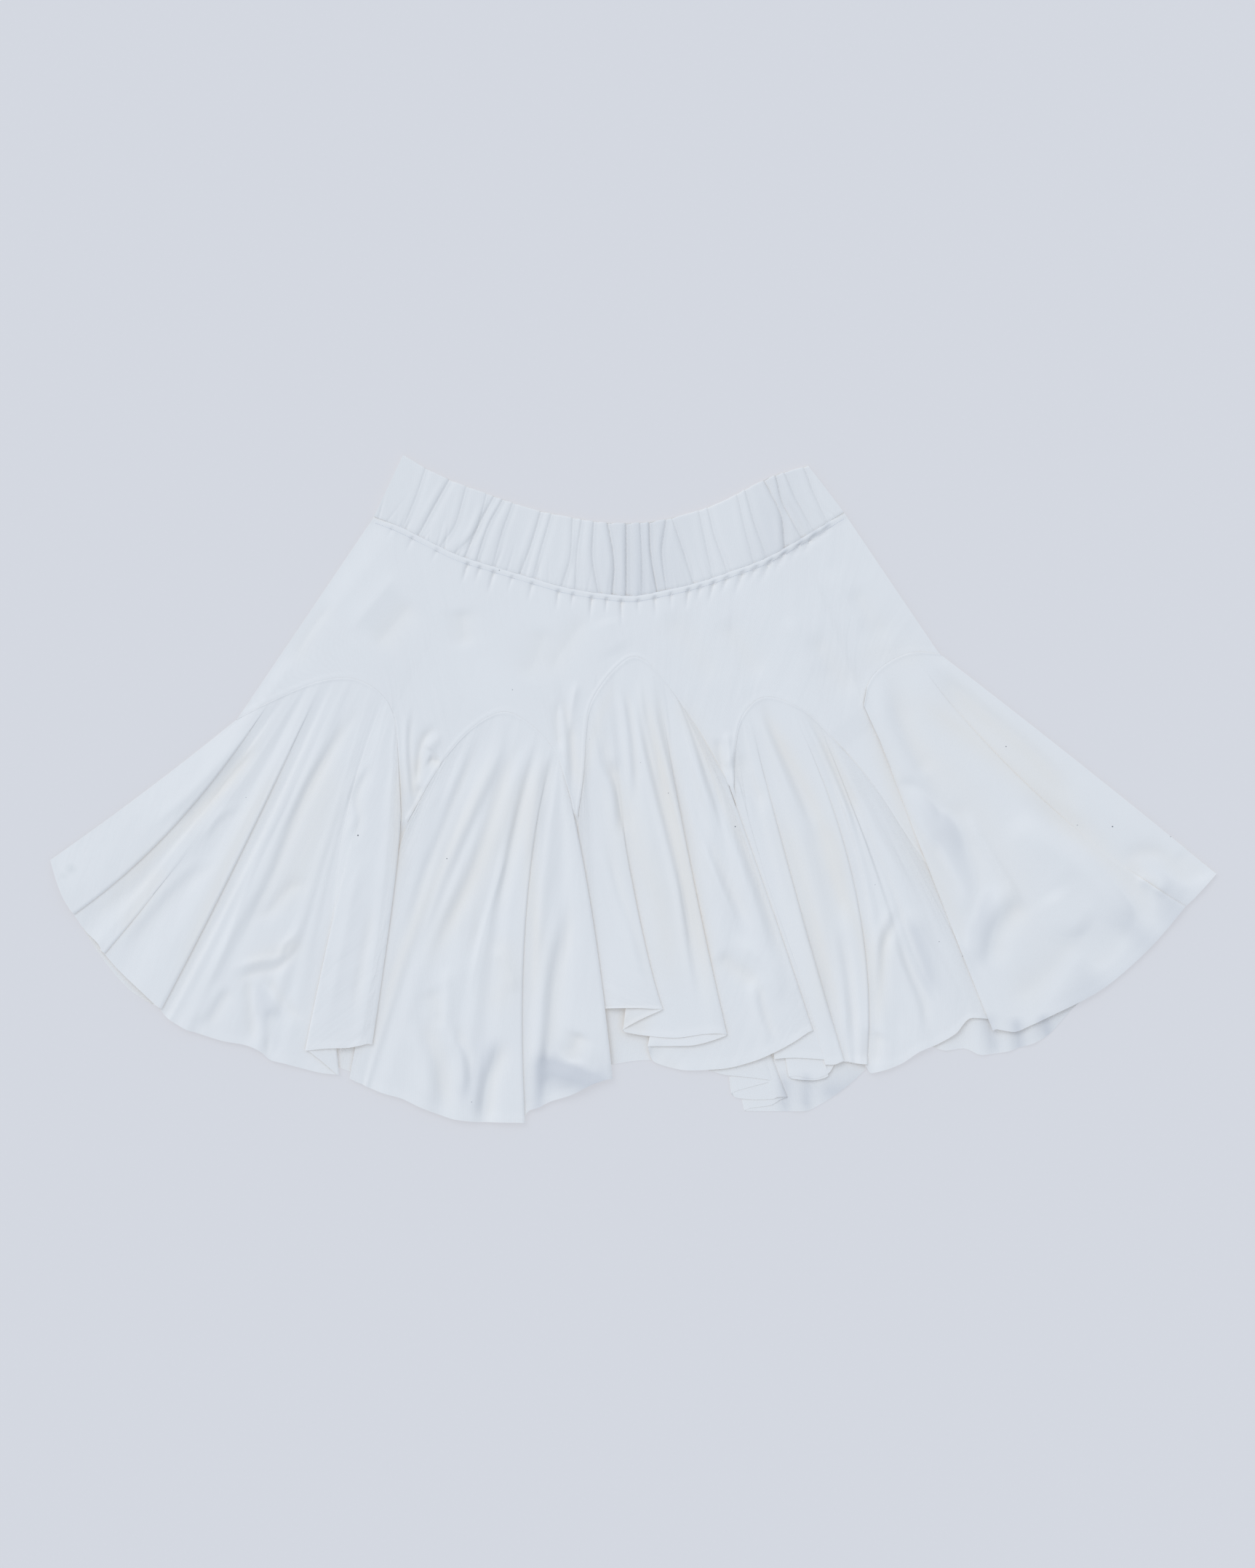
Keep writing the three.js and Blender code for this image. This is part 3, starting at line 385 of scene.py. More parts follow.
BACK_FOLDS = [
    table(FOLD, [
        (0, -333, 0, -400, -50, 0.5, 0.5), (0.16, -318, -18, -382, -89, 0.5, 0.5),
        (0.3, -296, -32, -363, -119, 0.5, 0.5), (0.42, -272, -42, -344, -140, 0.5, 0.5),
        (0.54, -250, -50, -324, -151.5, 0.5, 0.5), (0.68, -226, -66, -284, -169, 0.5, 0.5),
        (0.84, -206, -88, -242, -183, 0.5, 0.5), (1, -185.5, -100, -204.4, -191, 0.5, 0.5),
    ]),
    table(FOLD, [
        (0, -184.5, -100, -203.6, -191, 0.5, 0.5), (0.28, -158, -82, -180, -200, 0.5, 0.5),
        (0.5, -124, -80, -140, -214, 0.5, 0.5), (0.72, -92, -84, -104, -222, 0.5, 0.5),
        (1, -65.5, -110, -74.4, -219, 0.5, 0.5),
    ]),
    table(FOLD, [
        (0, -64.5, -110, -73.6, -219, 0.5, 0.5), (0.28, -40, -80, -44, -204, 0.5, 0.5),
        (0.5, -8, -58, -14, -189.5, 0.5, 0.5), (0.7, 24, -72, 10, -186.5, 0.5, 0.5),
        (1, 43.5, -100, 34.6, -188.5, 0.5, 0.5),
    ]),
    table(FOLD, [
        (0, 44.5, -100, 35.4, -188.5, 0.5, 0.5), (0.16, 52, -86, 50, -193, 0.5, 1.4),
        (0.24, 58, -82, 64, -196.7, 0.5, 2.6), (0.3, 66, -80, 82, -198.5, 0.5, 2.9),
        (0.34, 70, -79, 93, -200, 0.5, 3.3), (0.36, 71, -79, 96.5, -200.2, 0.5, 2.9),
        (0.38, 70, -79, 93, -201.5, 0.5, 2.5), (0.43, 66, -79, 80, -205, 0.5, 2.2),
        (0.47, 64, -79, 67.5, -209.3, 0.5, 1.9), (0.5, 66, -79, 70, -212, 0.5, 1.8),
        (0.54, 70, -79, 84, -213.6, 0.5, 1.9), (0.57, 72, -79, 96.4, -213, 0.5, 2.4),
        (0.575, 74, -79, 99, -211.8, 0.5, 3.6), (0.58, 77, -79, 103.5, -211.6, 0.5, 3.8),
        (0.585, 79, -79, 105.6, -212, 0.5, 2.6), (0.588, 76, -79, 101, -213.5, 0.5, 1.9),
        (0.59, 71, -79, 95, -217.3, 0.5, 1.5), (0.62, 68, -79, 80, -219.6, 0.5, 1.1),
        (0.64, 70, -78, 76.5, -221.3, 0.5, 0.8), (0.67, 76, -77, 90, -221.6, 0.5, 0.7),
        (0.7, 84, -77, 102, -221.7, 0.5, 0.8), (0.73, 88, -78, 107.5, -221.5, 0.5, 1.3),
        (0.76, 92, -79, 113.5, -221.7, 0.5, 2.6), (0.79, 96, -80, 119.5, -221.3, 0.5, 1.5),
        (0.81, 99, -82, 123, -220, 0.5, 0.4), (0.86, 108, -86, 131, -215.5, 0.5, 0.5),
        (0.92, 126, -92, 145, -206, 0.5, 1.2), (1, 149.5, -96, 159.6, -193, 0.5, 0.5),
    ]),
    table(FOLD, [
        (0, 150.5, -96, 160.4, -193, 0.5, 0.5), (0.12, 174, -88, 184, -185, 0.5, 0.5),
        (0.22, 190, -78, 203, -177, 0.5, 0.5), (0.28, 200, -72, 214, -180, 0.5, 1.8),
        (0.33, 208, -66, 227, -178.5, 0.5, 0.5), (0.38, 216, -60, 239, -183, 0.5, 2.6),
        (0.43, 224, -54, 249, -182, 0.5, 0.6), (0.47, 230, -50, 258, -180.5, 0.5, 2.0),
        (0.51, 236, -46, 265, -178, 0.5, 0.5), (0.55, 242, -42, 274, -175.5, 0.5, 2.2),
        (0.6, 248, -36, 284, -170, 0.5, 0.5), (0.66, 256, -30, 302, -151, 0.5, 0.5),
        (0.78, 272, -12, 340, -120, 0.5, 0.5), (0.9, 290, 6, 380, -78, 0.5, 0.5),
        (1, 306, 18, 400.5, -58, 0.5, 0.5),
    ]),
]
# Soft creases on top of the folds: half width, depth (under 0 a trough, over 0 a ridge) and path.
# Where step is 1 the cloth falls by the depth from the left of the path to the right of it.
CREASES = table("half depth path step", [
    # godet 1
    (4, -1.6, [(-256, 32), (-267, 19), (-284, 0), (-301, -17), (-316, -33)]),
    (5, 1.0, [(-262, 44), (-280, 22), (-305, -4), (-335, -30)]),
    (5, 1.8, [(-285, -46), (-304, -58), (-322, -76), (-337, -94), (-354, -116)], 1),
    (4, 1.0, [(-268, -12), (-284, -22), (-294, -38)], 1),
    (4, -1.2, [(-325, -48), (-345, -70), (-360, -80), (-378, -97)]),
    (4, 1.6, [(-196, 62), (-206, 36), (-223, 4), (-238, -30), (-251, -62), (-265, -90), (-279, -120)], 1),
    (3, 0.8, [(-225, 20), (-240, -10), (-256, -44), (-270, -80), (-282, -112), (-300, -146)]),
    (5, -1.0, [(-182, 60), (-195, 45), (-208, 25), (-220, 5), (-235, -22), (-250, -55)]),
    (5, 1.8, [(-278, -134), (-286, -146), (-296, -164)], 1),
    (5, -1.4, [(-262, -92), (-248, -82), (-239, -71), (-230, -66), (-221, -71)]),
    (2.5, 1.3, [(-278, -125), (-256, -118), (-243, -116), (-241, -108), (-233, -101), (-228, -92)]),
    (3, -1.2, [(-276, -133), (-262, -127), (-246, -124), (-234, -114), (-226, -103)]),
    (4, -1.5, [(-265, -126), (-263, -150), (-261, -178)]),
    (4, -1.4, [(-255, -126), (-242, -144), (-224, -162)]),
    (6, -1.8, [(-248, -150), (-251, -168), (-249, -188)]),
    (5, 1.0, [(-256, -136), (-254, -156), (-254, -186)]),
    (4, 1.4, [(-180, 20), (-193, -6), (-190, -20), (-196, -40)], 1),
    (4, -1.0, [(-178, -75), (-182, -100), (-188, -130), (-193, -160)]),
    (5, 0.9, [(-186, -40), (-196, -90), (-206, -140), (-212, -172)]),
    # godet 2
    (4, 2.0, [(-106, 44), (-117, 14), (-127, -10), (-136, -34), (-146, -60), (-154, -88), (-160, -110)], 1),
    (7, 1.2, [(-128, 10), (-138, -12), (-146, -36), (-153, -62)]),
    (5, 2.0, [(-86, 50), (-90, 26), (-101, 0), (-113, -26), (-128, -60), (-139, -90), (-153, -124)], 1),
    (6, 2.6, [(-78, 44), (-84, 28), (-97, -6), (-108, -40), (-118, -66), (-128, -88), (-142, -120)], 1),
    (6, 2.0, [(-66, 34), (-75, 14), (-81, -10), (-88, -44), (-97, -75), (-104, -102)], 1),
    (3.5, 1.2, [(-84, -34), (-93, -64), (-101, -90), (-108, -118), (-113, -150)]),
    (6, -1.2, [(-86, -20), (-97, -60), (-106, -96), (-114, -130)]),
    (4, 1.2, [(-127, -120), (-128, -145), (-127, -168)]),
    (5, 1.8, [(-58, 28), (-64, 0), (-68, -30), (-71, -60)], 1),
    (5, 1.2, [(-62, 12), (-64, -20), (-64, -60), (-65, -100), (-68, -140)]),
    (6, 3.2, [(-47, -70), (-49, -95), (-56, -125), (-60, -164), (-64, -204), (-67, -222)], 1),
    (9, 2.6, [(-64, -184), (-50, -191), (-40, -193), (-32, -197), (-20, -203)], 1),
    (7, -2.2, [(-36, -166), (-40, -177), (-46, -190)]),
    (7, 3.8, [(-92, -168), (-97, -186), (-102, -200), (-105, -222), (-104, -236)], 1),
    (5, 2.2, [(-124, -160), (-121, -172), (-116, -184), (-114, -198), (-116, -216)], 1),
    (8, 2.8, [(-149, -156), (-145, -170), (-138, -188), (-135, -205), (-130, -226)], 1),
    (5, 1.1, [(-100, -112), (-92, -114), (-85, -124), (-81, -142)]),
    (7, -1.2, [(-140, -136), (-134, -150), (-132, -166)]),
    # godet 3
    (5, 2.2, [(-30, 44), (-24, 34), (-20, 14), (-13, 0), (-9, -36)], 1),
    (6, -1.8, [(-16, 22), (-11, 4), (-8, -14), (-6, -36)]),
    (4, 1.2, [(-22, -30), (-14, -62), (-4, -92), (4, -118), (10, -140)], 1),
    (4, 2.0, [(-10, 74), (-4, 50), (-1, 20), (0, -14)], 1),
    (3, 1.3, [(4, 80), (7, 50), (14, 20), (20, -14)]),
    (3.5, 2.8, [(1, 74), (5, 42), (14, 4), (24, -34), (32, -68), (38, -108), (46, -156)], 1),
    (3.5, -1.8, [(7, 68), (15, 30), (22, 0), (32, -36), (38, -68), (44, -100), (52, -156)]),
    (4, 2.6, [(12, 78), (18, 42), (27, 8), (37, -34), (46, -76)], 1),
    (6, 3.0, [(26, 62), (42, 26), (53, -1), (68, -32), (84, -70), (96, -108), (108, -142)], 1),
    (3, 0.9, [(34, 6), (43, -24), (56, -57), (68, -87), (76, -108)]),
    (5, 1.8, [(46, -30), (64, -70), (80, -100)], 1),
    (6, -1.8, [(58, -112), (68, -122), (78, -128), (86, -138)]),
    (4, 1.8, [(82, -130), (85, -140), (88, -155), (97, -176)], 1),
    (6, 1.2, [(66, -104), (82, -112), (96, -128), (102, -150)]),
    (6, -1.2, [(12, -176), (22, -186), (34, -196)]),
    # godet 4
    (3, 1.4, [(70, 30), (68, 18), (72, 4), (80, -6), (86, -24)], 1),
    (4, -1.3, [(74, 26), (77, 12), (84, 0), (92, -16)]),
    (5, 2.6, [(82, 64), (95, 34), (105, 12), (116, -12), (128, -36)], 1),
    (5, 2.4, [(112, 58), (128, 30), (138, 6), (148, -14), (158, -40)], 1),
    (5, -2.0, [(124, -20), (134, -56), (140, -76), (144, -100)]),
    (5, 1.9, [(112, -74), (124, -112), (132, -140), (140, -172)], 1),
    (4, 1.8, [(138, -92), (144, -118), (148, -150), (150, -178)], 1),
    (4.5, 1.8, [(182, -78), (176, -92), (170, -106), (168, -124), (168, -150)], 1),
    (4, 1.6, [(178, -100), (186, -122), (196, -144), (201, -172)], 1),
    (5, 1.0, [(176, -96), (178, -130), (182, -165)]),
    (6, -2.0, [(168, -166), (164, -178), (163, -190)]),
    (3, 1.2, [(152, 0), (162, -36), (175, -66), (185, -96), (197, -126), (214, -156)], 1),
    (7, 2.2, [(168, -26), (178, -40), (195, -66), (214, -92), (228, -115), (240, -138)], 1),
    (4, 0.9, [(186, -78), (202, -104), (218, -132), (228, -150)]),
    # godet 5
    (10, 3.4, [(170, 84), (180, 45), (193, 17), (209, -10), (222, -28), (238, -50)], 1),
    (5, -1.7, [(180, 4), (192, 2), (203, -6), (210, -16), (208, -28)]),
    (7, 1.0, [(198, 18), (212, 0), (224, -18)]),
    (8, -1.5, [(220, -24), (233, -44), (237, -64), (234, -88), (236, -112)]),
    (3, 1.8, [(228, -14), (236, -30), (248, -50), (262, -72), (270, -86)]),
    (10, 2.8, [(268, -70), (254, -84), (245, -98), (240, -126)], 1),
    (14, -1.5, [(302, -92), (296, -112), (284, -128), (268, -140), (250, -146)]),
    (15, -1.6, [(350, -78), (340, -98), (326, -114), (306, -128)]),
    (12, 1.6, [(286, -70), (298, -88), (312, -100)]),
    (12, 3.8, [(262, -6), (285, -27), (312, -47), (336, -72), (350, -92), (368, -112)], 1),
    (12, 1.4, [(258, -20), (286, -52), (304, -74)]),
    (8, -3.0, [(206, 84), (228, 60), (258, 36), (275, 21), (291, 4), (308, -18)]),
    (6, -1.6, [(332, -53), (347, -45), (361, -45), (375, -58), (388, -72)]),
    (5, 1.8, [(344, -62), (357, -64), (369, -72)]),
    (7, -1.2, [(374, -42), (386, -54), (392, -64)]),
    # tongues of the yoke
    (2.5, 1.2, [(-153, 58), (-155, 30), (-153, 0), (-151, -14)], 1),
    (2.6, -1.5, [(-149, 0), (-148, 14), (-146, 29), (-142, 37), (-137, 40), (-131, 37)]),
    (3, 1.2, [(-141, 26), (-137, 32), (-132, 31)]),
    (4, -1.8, [(-141, 21), (-137, 19), (-132, 20)]),
    (4, -1.2, [(-146, 4), (-149, -8), (-153, -20)]),
    (4, 1.8, [(-54, 66), (-48, 54), (-45, 36), (-44, 10), (-43, -8)], 1),
    (3, -1.2, [(-52, 62), (-52, 44), (-50, 24)]),
    (3, 1.2, [(-38, 76), (-42, 56), (-44, 34)]),
    (3, -1.0, [(58, 36), (60, 20), (64, 8)]),
    (3, 1.2, [(64, 40), (66, 26), (66, 12)]),
    (3, -1.2, [(168, 36), (178, 8), (190, -20), (206, -44), (220, -66)]),
    (4, -1.2, [(205, -30), (213, -52), (220, -65), (228, -78)]),
    # body of the yoke
    (9, -1.2, [(-150, 130), (-165, 112), (-180, 95)]),
    (7, 0.9, [(-160, 150), (-178, 128), (-196, 106)]),
    (8, -1.1, [(-118, 125), (-117, 110), (-115, 95)]),
    (8, -1.0, [(60, 118), (75, 96), (90, 74)]),
    (9, -1.2, [(120, 108), (138, 84), (155, 62)]),
    (7, 1.0, [(104, 120), (120, 96), (134, 76)]),
    (9, -0.9, [(-60, 112), (-66, 92), (-75, 72)]),
    (10, 0.8, [(-20, 118), (-16, 104), (-10, 92)]),
    (8, -0.9, [(150, 140), (162, 118), (178, 100)]),
    (7, 0.8, [(132, 152), (148, 126), (160, 104)]),
    (7, -0.9, [(-205, 130), (-222, 108), (-236, 80)]),
    (8, -0.9, [(-30, 120), (-48, 96), (-60, 74)]),
    (9, -0.9, [(20, 122), (40, 100), (58, 70)]),
])

# Short pleats of the yoke under the waist seam: where each starts, how long it is,
# how far it leans to the right, its half width and its depth
WAIST_PLEATS = table("x length lean half depth", [
    (-165, 10, -4, 1.2, 0.8), (-150, 14, -6, 1.3, 1.0), (-133, 12, -5, 1.2, 1.0),
    (-112, 20, -6, 1.4, 1.6), (-104, 16, -5, 1.3, 1.4), (-95, 22, -6, 1.4, 1.6),
    (-82, 14, -4, 1.3, 1.0), (-68, 18, -4, 1.4, 1.3), (-50, 20, -3, 1.4, 1.6),
    (-41, 14, -2, 1.2, 1.4), (-28, 22, -2, 1.4, 1.8), (-18, 16, -1, 1.3, 1.6),
    (-8, 24, 0, 1.4, 1.8), (3, 14, 0, 1.2, 1.3), (14, 20, 1, 1.4, 1.6), (26, 15, 0, 1.3, 1.3),
    (38, 20, -3, 1.4, 1.8), (47, 16, -4, 1.3, 1.6), (57, 22, -6, 1.4, 1.8),
    (66, 18, -7, 1.3, 1.8), (76, 24, -9, 1.4, 1.9), (86, 18, -9, 1.3, 1.8),
    (97, 24, -12, 1.6, 2.2), (107, 22, -13, 1.6, 2.4), (117, 20, -13, 1.6, 2.2),
    (127, 22, -15, 1.7, 2.6), (136, 18, -13, 1.6, 2.4),
])

# Marks on the cloth: place and size across
LINT = table("x y size", [
    (-189, -32, 1.3), (-128, -48, 1.0), (70, -26, 1.1), (256, 29, 1.0), (329, -26, 1.2), (210, -105, 0.8),
    (226, -115, 0.8), (166, -66, 0.7), (-92, 150, 0.9), (-83, 164, 0.7), (-83, 68, 0.8), (-111, -215, 0.8),
    (305, -25, 0.8), (369, -33, 0.8), (-266, -6, 0.7), (24, -3, 0.8), (-30, 34, 0.6), (5, 18, 0.6),
])
SMUDGE = table("x y size", [(-386, -55, 10), (-391, -60, 7)])

# Painted light and shade on the cloth: half width, amount (over 0 painted warm bounce light, in the
# hollows where the cloth lights itself; under 0 painted cool shade, where it turns away) and path
PAINTED_BOUNCE_AND_SHADE = table("half amount path", [
    # godet 1 and the tongue beside it
    (5, 1.0, [(-246, 46), (-300, -18), (-335, -50), (-372, -90)]),
    (6, 0.8, [(-318, -50), (-338, -78), (-356, -104)]),
    (5, 0.9, [(-235, 29), (-269, -32), (-293, -83), (-320, -148)]),
    (14, 0.6, [(-205, 30), (-218, -20), (-232, -60), (-250, -90)]),
    (6, 0.7, [(-269, -120), (-245, -112), (-221, -104)]),
    (8, -0.4, [(-260, -128), (-250, -160), (-248, -196)]),
    (4, 1.0, [(-160, 20), (-162, -30), (-162, -70)]),
    (4, 0.8, [(-148, 25), (-152, -9)]),
    # godet 2
    (5, 0.8, [(-91, 39), (-100, 15), (-127, -44), (-166, -134), (-179, -196)]),
    (9, 0.8, [(-82, 25), (-86, -9), (-100, -44), (-124, -86), (-148, -134)]),
    (6, 0.9, [(-60, 34), (-71, -20), (-68, -86), (-66, -112), (-73, -165)]),
    (10, 0.6, [(-93, -96), (-86, -134), (-107, -155)]),
    (7, -0.5, [(-95, -165), (-103, -192), (-106, -232)]),
    (6, -0.3, [(-118, -168), (-114, -190), (-116, -222)]),
    (11, -1.4, [(-72, -184), (-50, -192), (-40, -195), (-30, -199), (-8, -209)]),
    (5, -0.7, [(-62, -180), (-64, -204), (-67, -232)]),
    # godet 3 and the tongues beside it
    (4, 0.6, [(-10, 79), (-27, 38), (-38, -11)]),
    (4, 0.5, [(-48, 65), (-42, 30), (-36, -4)]),
    (6, 1.2, [(4, 83), (14, 38), (21, 10), (35, -46), (49, -108), (53, -163)]),
    (12, 0.8, [(0, 10), (-3, -21), (18, -80), (28, -150)]),
    (6, 0.7, [(28, 65), (56, 20), (66, 6)]),
    (8, 0.8, [(-13, -156), (14, -167)]),
    # godet 4 and the tongue beside it
    (6, 1.0, [(87, 58), (108, 20), (125, -11), (139, -56), (143, -87)]),
    (9, 0.9, [(94, -4), (108, -39), (125, -94), (132, -143), (136, -174)]),
    (6, 0.8, [(125, 38), (142, 8), (156, -21)]),
    (5, 1.0, [(133, -11), (145, -71), (160, -113), (162, -156)]),
    (5, 0.8, [(175, -83), (171, -122), (167, -173)]),
    (6, 0.9, [(158, 57), (171, 23), (192, -36), (218, -79), (231, -113)]),
    (6, -0.5, [(188, -84), (200, -118), (207, -148)]),
    # godet 5
    (9, 1.1, [(184, 74), (201, 57), (231, 36), (269, 6), (295, -15), (333, -49)]),
    (14, 0.5, [(188, 44), (231, -7), (261, -71), (278, -122)]),
    (5, 0.6, [(337, -49), (350, -58), (363, -71)]),
    (14, -0.5, [(198, 10), (222, -34), (233, -62), (240, -92), (238, -140)]),
    (20, -0.35, [(390, -50), (362, -82), (336, -100), (310, -118), (276, -150)]),
    (15, -0.5, [(396, -62), (362, -106), (336, -128), (306, -148), (262, -170)]),
    # hems of the back
    (5, -0.9, [(262, -154), (264, -168), (268, -190)]),
    (5, -0.9, [(280, -152), (284, -166), (292, -184)]),
    (5, -0.7, [(242, -152), (245, -168), (250, -186)]),
    (4, -0.8, [(104, -194), (104, -210), (104, -228)]),
    (4, -0.7, [(119, -192), (119, -208), (119, -226)]),
    (9, -0.8, [(124, -206), (146, -208), (168, -198)]),
    # yoke
    (10, 0.4, [(150, 92), (180, 92), (204, 84)]),
])


def smooth_line(points, steps):
    """A smooth line through points, as even steps."""
    p = np.array(points, float)
    p = np.vstack([2 * p[0] - p[1], p, 2 * p[-1] - p[-2]])
    fine = []
    for a, b, c, d in zip(p, p[1:], p[2:], p[3:]):
        t0 = 0.0
        t1 = t0 + math.sqrt(np.linalg.norm(b - a))
        t2 = t1 + math.sqrt(np.linalg.norm(c - b))
        t3 = t2 + math.sqrt(np.linalg.norm(d - c))
        t = np.linspace(t1, t2, 40)[:-1, None]
        ab = ((t1 - t) * a + (t - t0) * b) / (t1 - t0)
        bc = ((t2 - t) * b + (t - t1) * c) / (t2 - t1)
        cd = ((t3 - t) * c + (t - t2) * d) / (t3 - t2)
        abc = ((t2 - t) * ab + (t - t0) * bc) / (t2 - t0)
        bcd = ((t3 - t) * bc + (t - t1) * cd) / (t3 - t1)
        fine.extend(((t2 - t) * abc + (t - t1) * bcd) / (t2 - t1))
    fine = np.array([*fine, p[-2]])
    run = np.concatenate([[0], np.cumsum(np.linalg.norm(np.diff(fine, axis=0), axis=1))])
    even = np.linspace(0, run[-1], steps + 1)
    return np.column_stack([np.interp(even, run, fine[:, 0]), np.interp(even, run, fine[:, 1])])


def along(steps, fraction):
    """Points at fractions of a line of even steps."""
    place = np.clip(fraction, 0, 1) * (len(steps) - 1)
    i = np.minimum(place.astype(int), len(steps) - 2)
    t = (place - i)[..., None]
    return steps[i] * (1 - t) + steps[i + 1] * t


def moved_right(steps, distance):
    """The same steps moved to the right of their direction."""
    run = np.gradient(steps, axis=0)
    run /= np.linalg.norm(run, axis=1)[:, None]
    return steps + distance * np.column_stack([run[:, 1], -run[:, 0]])


def smooth_step(value):
    """0 up to 0 and 1 from 1 on, with a soft rise between."""
    t = np.clip(value, 0, 1)
    return t * t * (3 - 2 * t)


def soft_curve(values):
    """A curve through values at 0, 1, 2 ... that never swings past them."""
    values = np.asarray(values, float)
    rise = np.diff(values, axis=0)
    before, after = rise[:-1], rise[1:]
    same_way = before * after > 0
    middle = np.where(same_way, 2 * before * after / np.where(same_way, before + after, 1), 0)
    slopes = np.concatenate([rise[:1], middle, rise[-1:]])

    def at(place):
        place = np.asarray(place, float)
        i = np.clip(place.astype(int), 0, len(values) - 2)
        t = place - i
        if values.ndim == 2:
            t = t[:, None]
        cubic = slopes[i] + slopes[i + 1] - 2 * rise[i]
        square = 3 * rise[i] - 2 * slopes[i] - slopes[i + 1]
        return values[i] + t * (slopes[i] + t * (square + t * cubic))

    return at


def nearest(x, y, line):
    """Distance of each point to a line of steps, how far along it is, 0 to 1, and on which side."""
    best = np.full(x.shape, np.inf)
    share = np.zeros(x.shape)
    side = np.zeros(x.shape)
    count = len(line) - 1
    for i, (a, b) in enumerate(zip(line, line[1:])):
        run = b - a
        t = np.clip(((x - a[0]) * run[0] + (y - a[1]) * run[1]) / (run @ run), 0, 1)
        away = np.hypot(x - a[0] - t * run[0], y - a[1] - t * run[1])
        closer = away < best
        best = np.where(closer, away, best)
        share = np.where(closer, (i + t) / count, share)
        side = np.where(closer, np.sign((y - a[1]) * run[0] - (x - a[0]) * run[1]), side)
    return best, share, side


def crease(x, y, line, half, depth, step=False, fade_in=0.25, fade_out=0.3):
    """The height that one crease adds at each point."""
    reach = CREASE_REACH * half
    low, high = line.min(axis=0) - reach, line.max(axis=0) + reach
    near = (x > low[0]) & (x < high[0]) & (y > low[1]) & (y < high[1])
    height = np.zeros(x.shape)
    if near.any():
        away, share, side = nearest(x[near], y[near], line)
        fade = smooth_step((1 - share) / fade_out)
        if fade_in:
            fade = fade * smooth_step(share / fade_in)
        across = away / half
        if step:
            shape = -STEP_SHAPE * side * across * np.exp(-across ** 2)
        else:
            shape = np.exp(-across ** 1.5)
        height[near] = depth * fade * shape
    return height


def pleat_path(pleat):
    """The line of one pleat, from the waist seam down."""
    start = waist_line[np.argmin(np.abs(waist_line[:, 0] - pleat.x))]
    return start + np.outer([0, 0.4, 1], [pleat.lean, -pleat.length])


def relief(points):
    """What the creases add to the height of points. Cloth that lies on the surface keeps its height."""
    x, y, z = points.T
    height = np.zeros(len(points))
    for row in CREASES:
        height += crease(x, y, smooth_line(row.path, PATH_STEPS), row.half, row.depth, row.step)
    for pleat in WAIST_PLEATS:
        height += crease(x, y, pleat_path(pleat), pleat.half, -pleat.depth, fade_in=0, fade_out=0.8)
    return height * smooth_step((z - GROUNDED) / GROUNDED_RISE)


def painted_bounce_and_shade(points, sunk=0):
    """Painted light at points: warm painted bounce light over 0, cool painted shade under 0. Sunk hollows
    get painted bounce light.
    """
    x, y, _ = points.T
    # Painted bounce light in the sunk hollows
    painted_light_and_shade = np.clip(-HOLLOW_PAINTED_BOUNCE * sunk, 0, 1) * np.ones(len(points))
    for row in PAINTED_BOUNCE_AND_SHADE:
        painted_light_and_shade += crease(x, y, smooth_line(row.path, PATH_STEPS), row.half, row.amount)
    # Painted shade along the pleats under the waist seam
    for pleat in WAIST_PLEATS:
        half, pleat_shade = PLEAT_SHADE_WIDTH * pleat.half, -PLEAT_PAINTED_SHADE * pleat.depth
        painted_light_and_shade += crease(x, y, pleat_path(pleat), half, pleat_shade, fade_out=0.6)
    return np.clip(painted_light_and_shade, DEEPEST_PAINTED_SHADE, MOST_PAINTED_BOUNCE)


def kept_above(height, lowest):
    """Heights that flatten out softly above a lowest one."""
    over = height - lowest
    return lowest + (over + np.sqrt(over ** 2 + SOFT_LANDING ** 2)) / 2


def seam_relief(distance):
    """A pressed seam: a low ridge over the turned-in edge beside the seam line."""
    return RIDGE_HEIGHT * np.exp(-(((distance - RIDGE_PLACE) / RIDGE_HALF) ** 2))


def lengths(points, axis):
    """Distance run along an axis of a grid of points, from its first."""
    run = np.linalg.norm(np.diff(points, axis=axis), axis=2)
    pad = [(0, 0), (0, 0)]
    pad[axis] = (1, 0)
    return np.pad(np.cumsum(run, axis=axis), pad)


def grid_sheet(grid):
    """Points, quads and cloth coordinates of a grid whose rows run from the top down."""
    rows, columns, _ = grid.shape
    corner = (np.arange(rows - 1)[:, None] * columns + np.arange(columns - 1)).ravel()
    quads = np.column_stack([corner, corner + columns, corner + columns + 1, corner + 1])
    across = lengths(grid, 1)
    across -= across[:, columns // 2][:, None]
    uv = np.stack([across, -lengths(grid, 0)], axis=2)
    return grid.reshape(-1, 3), quads, uv.reshape(-1, 2)


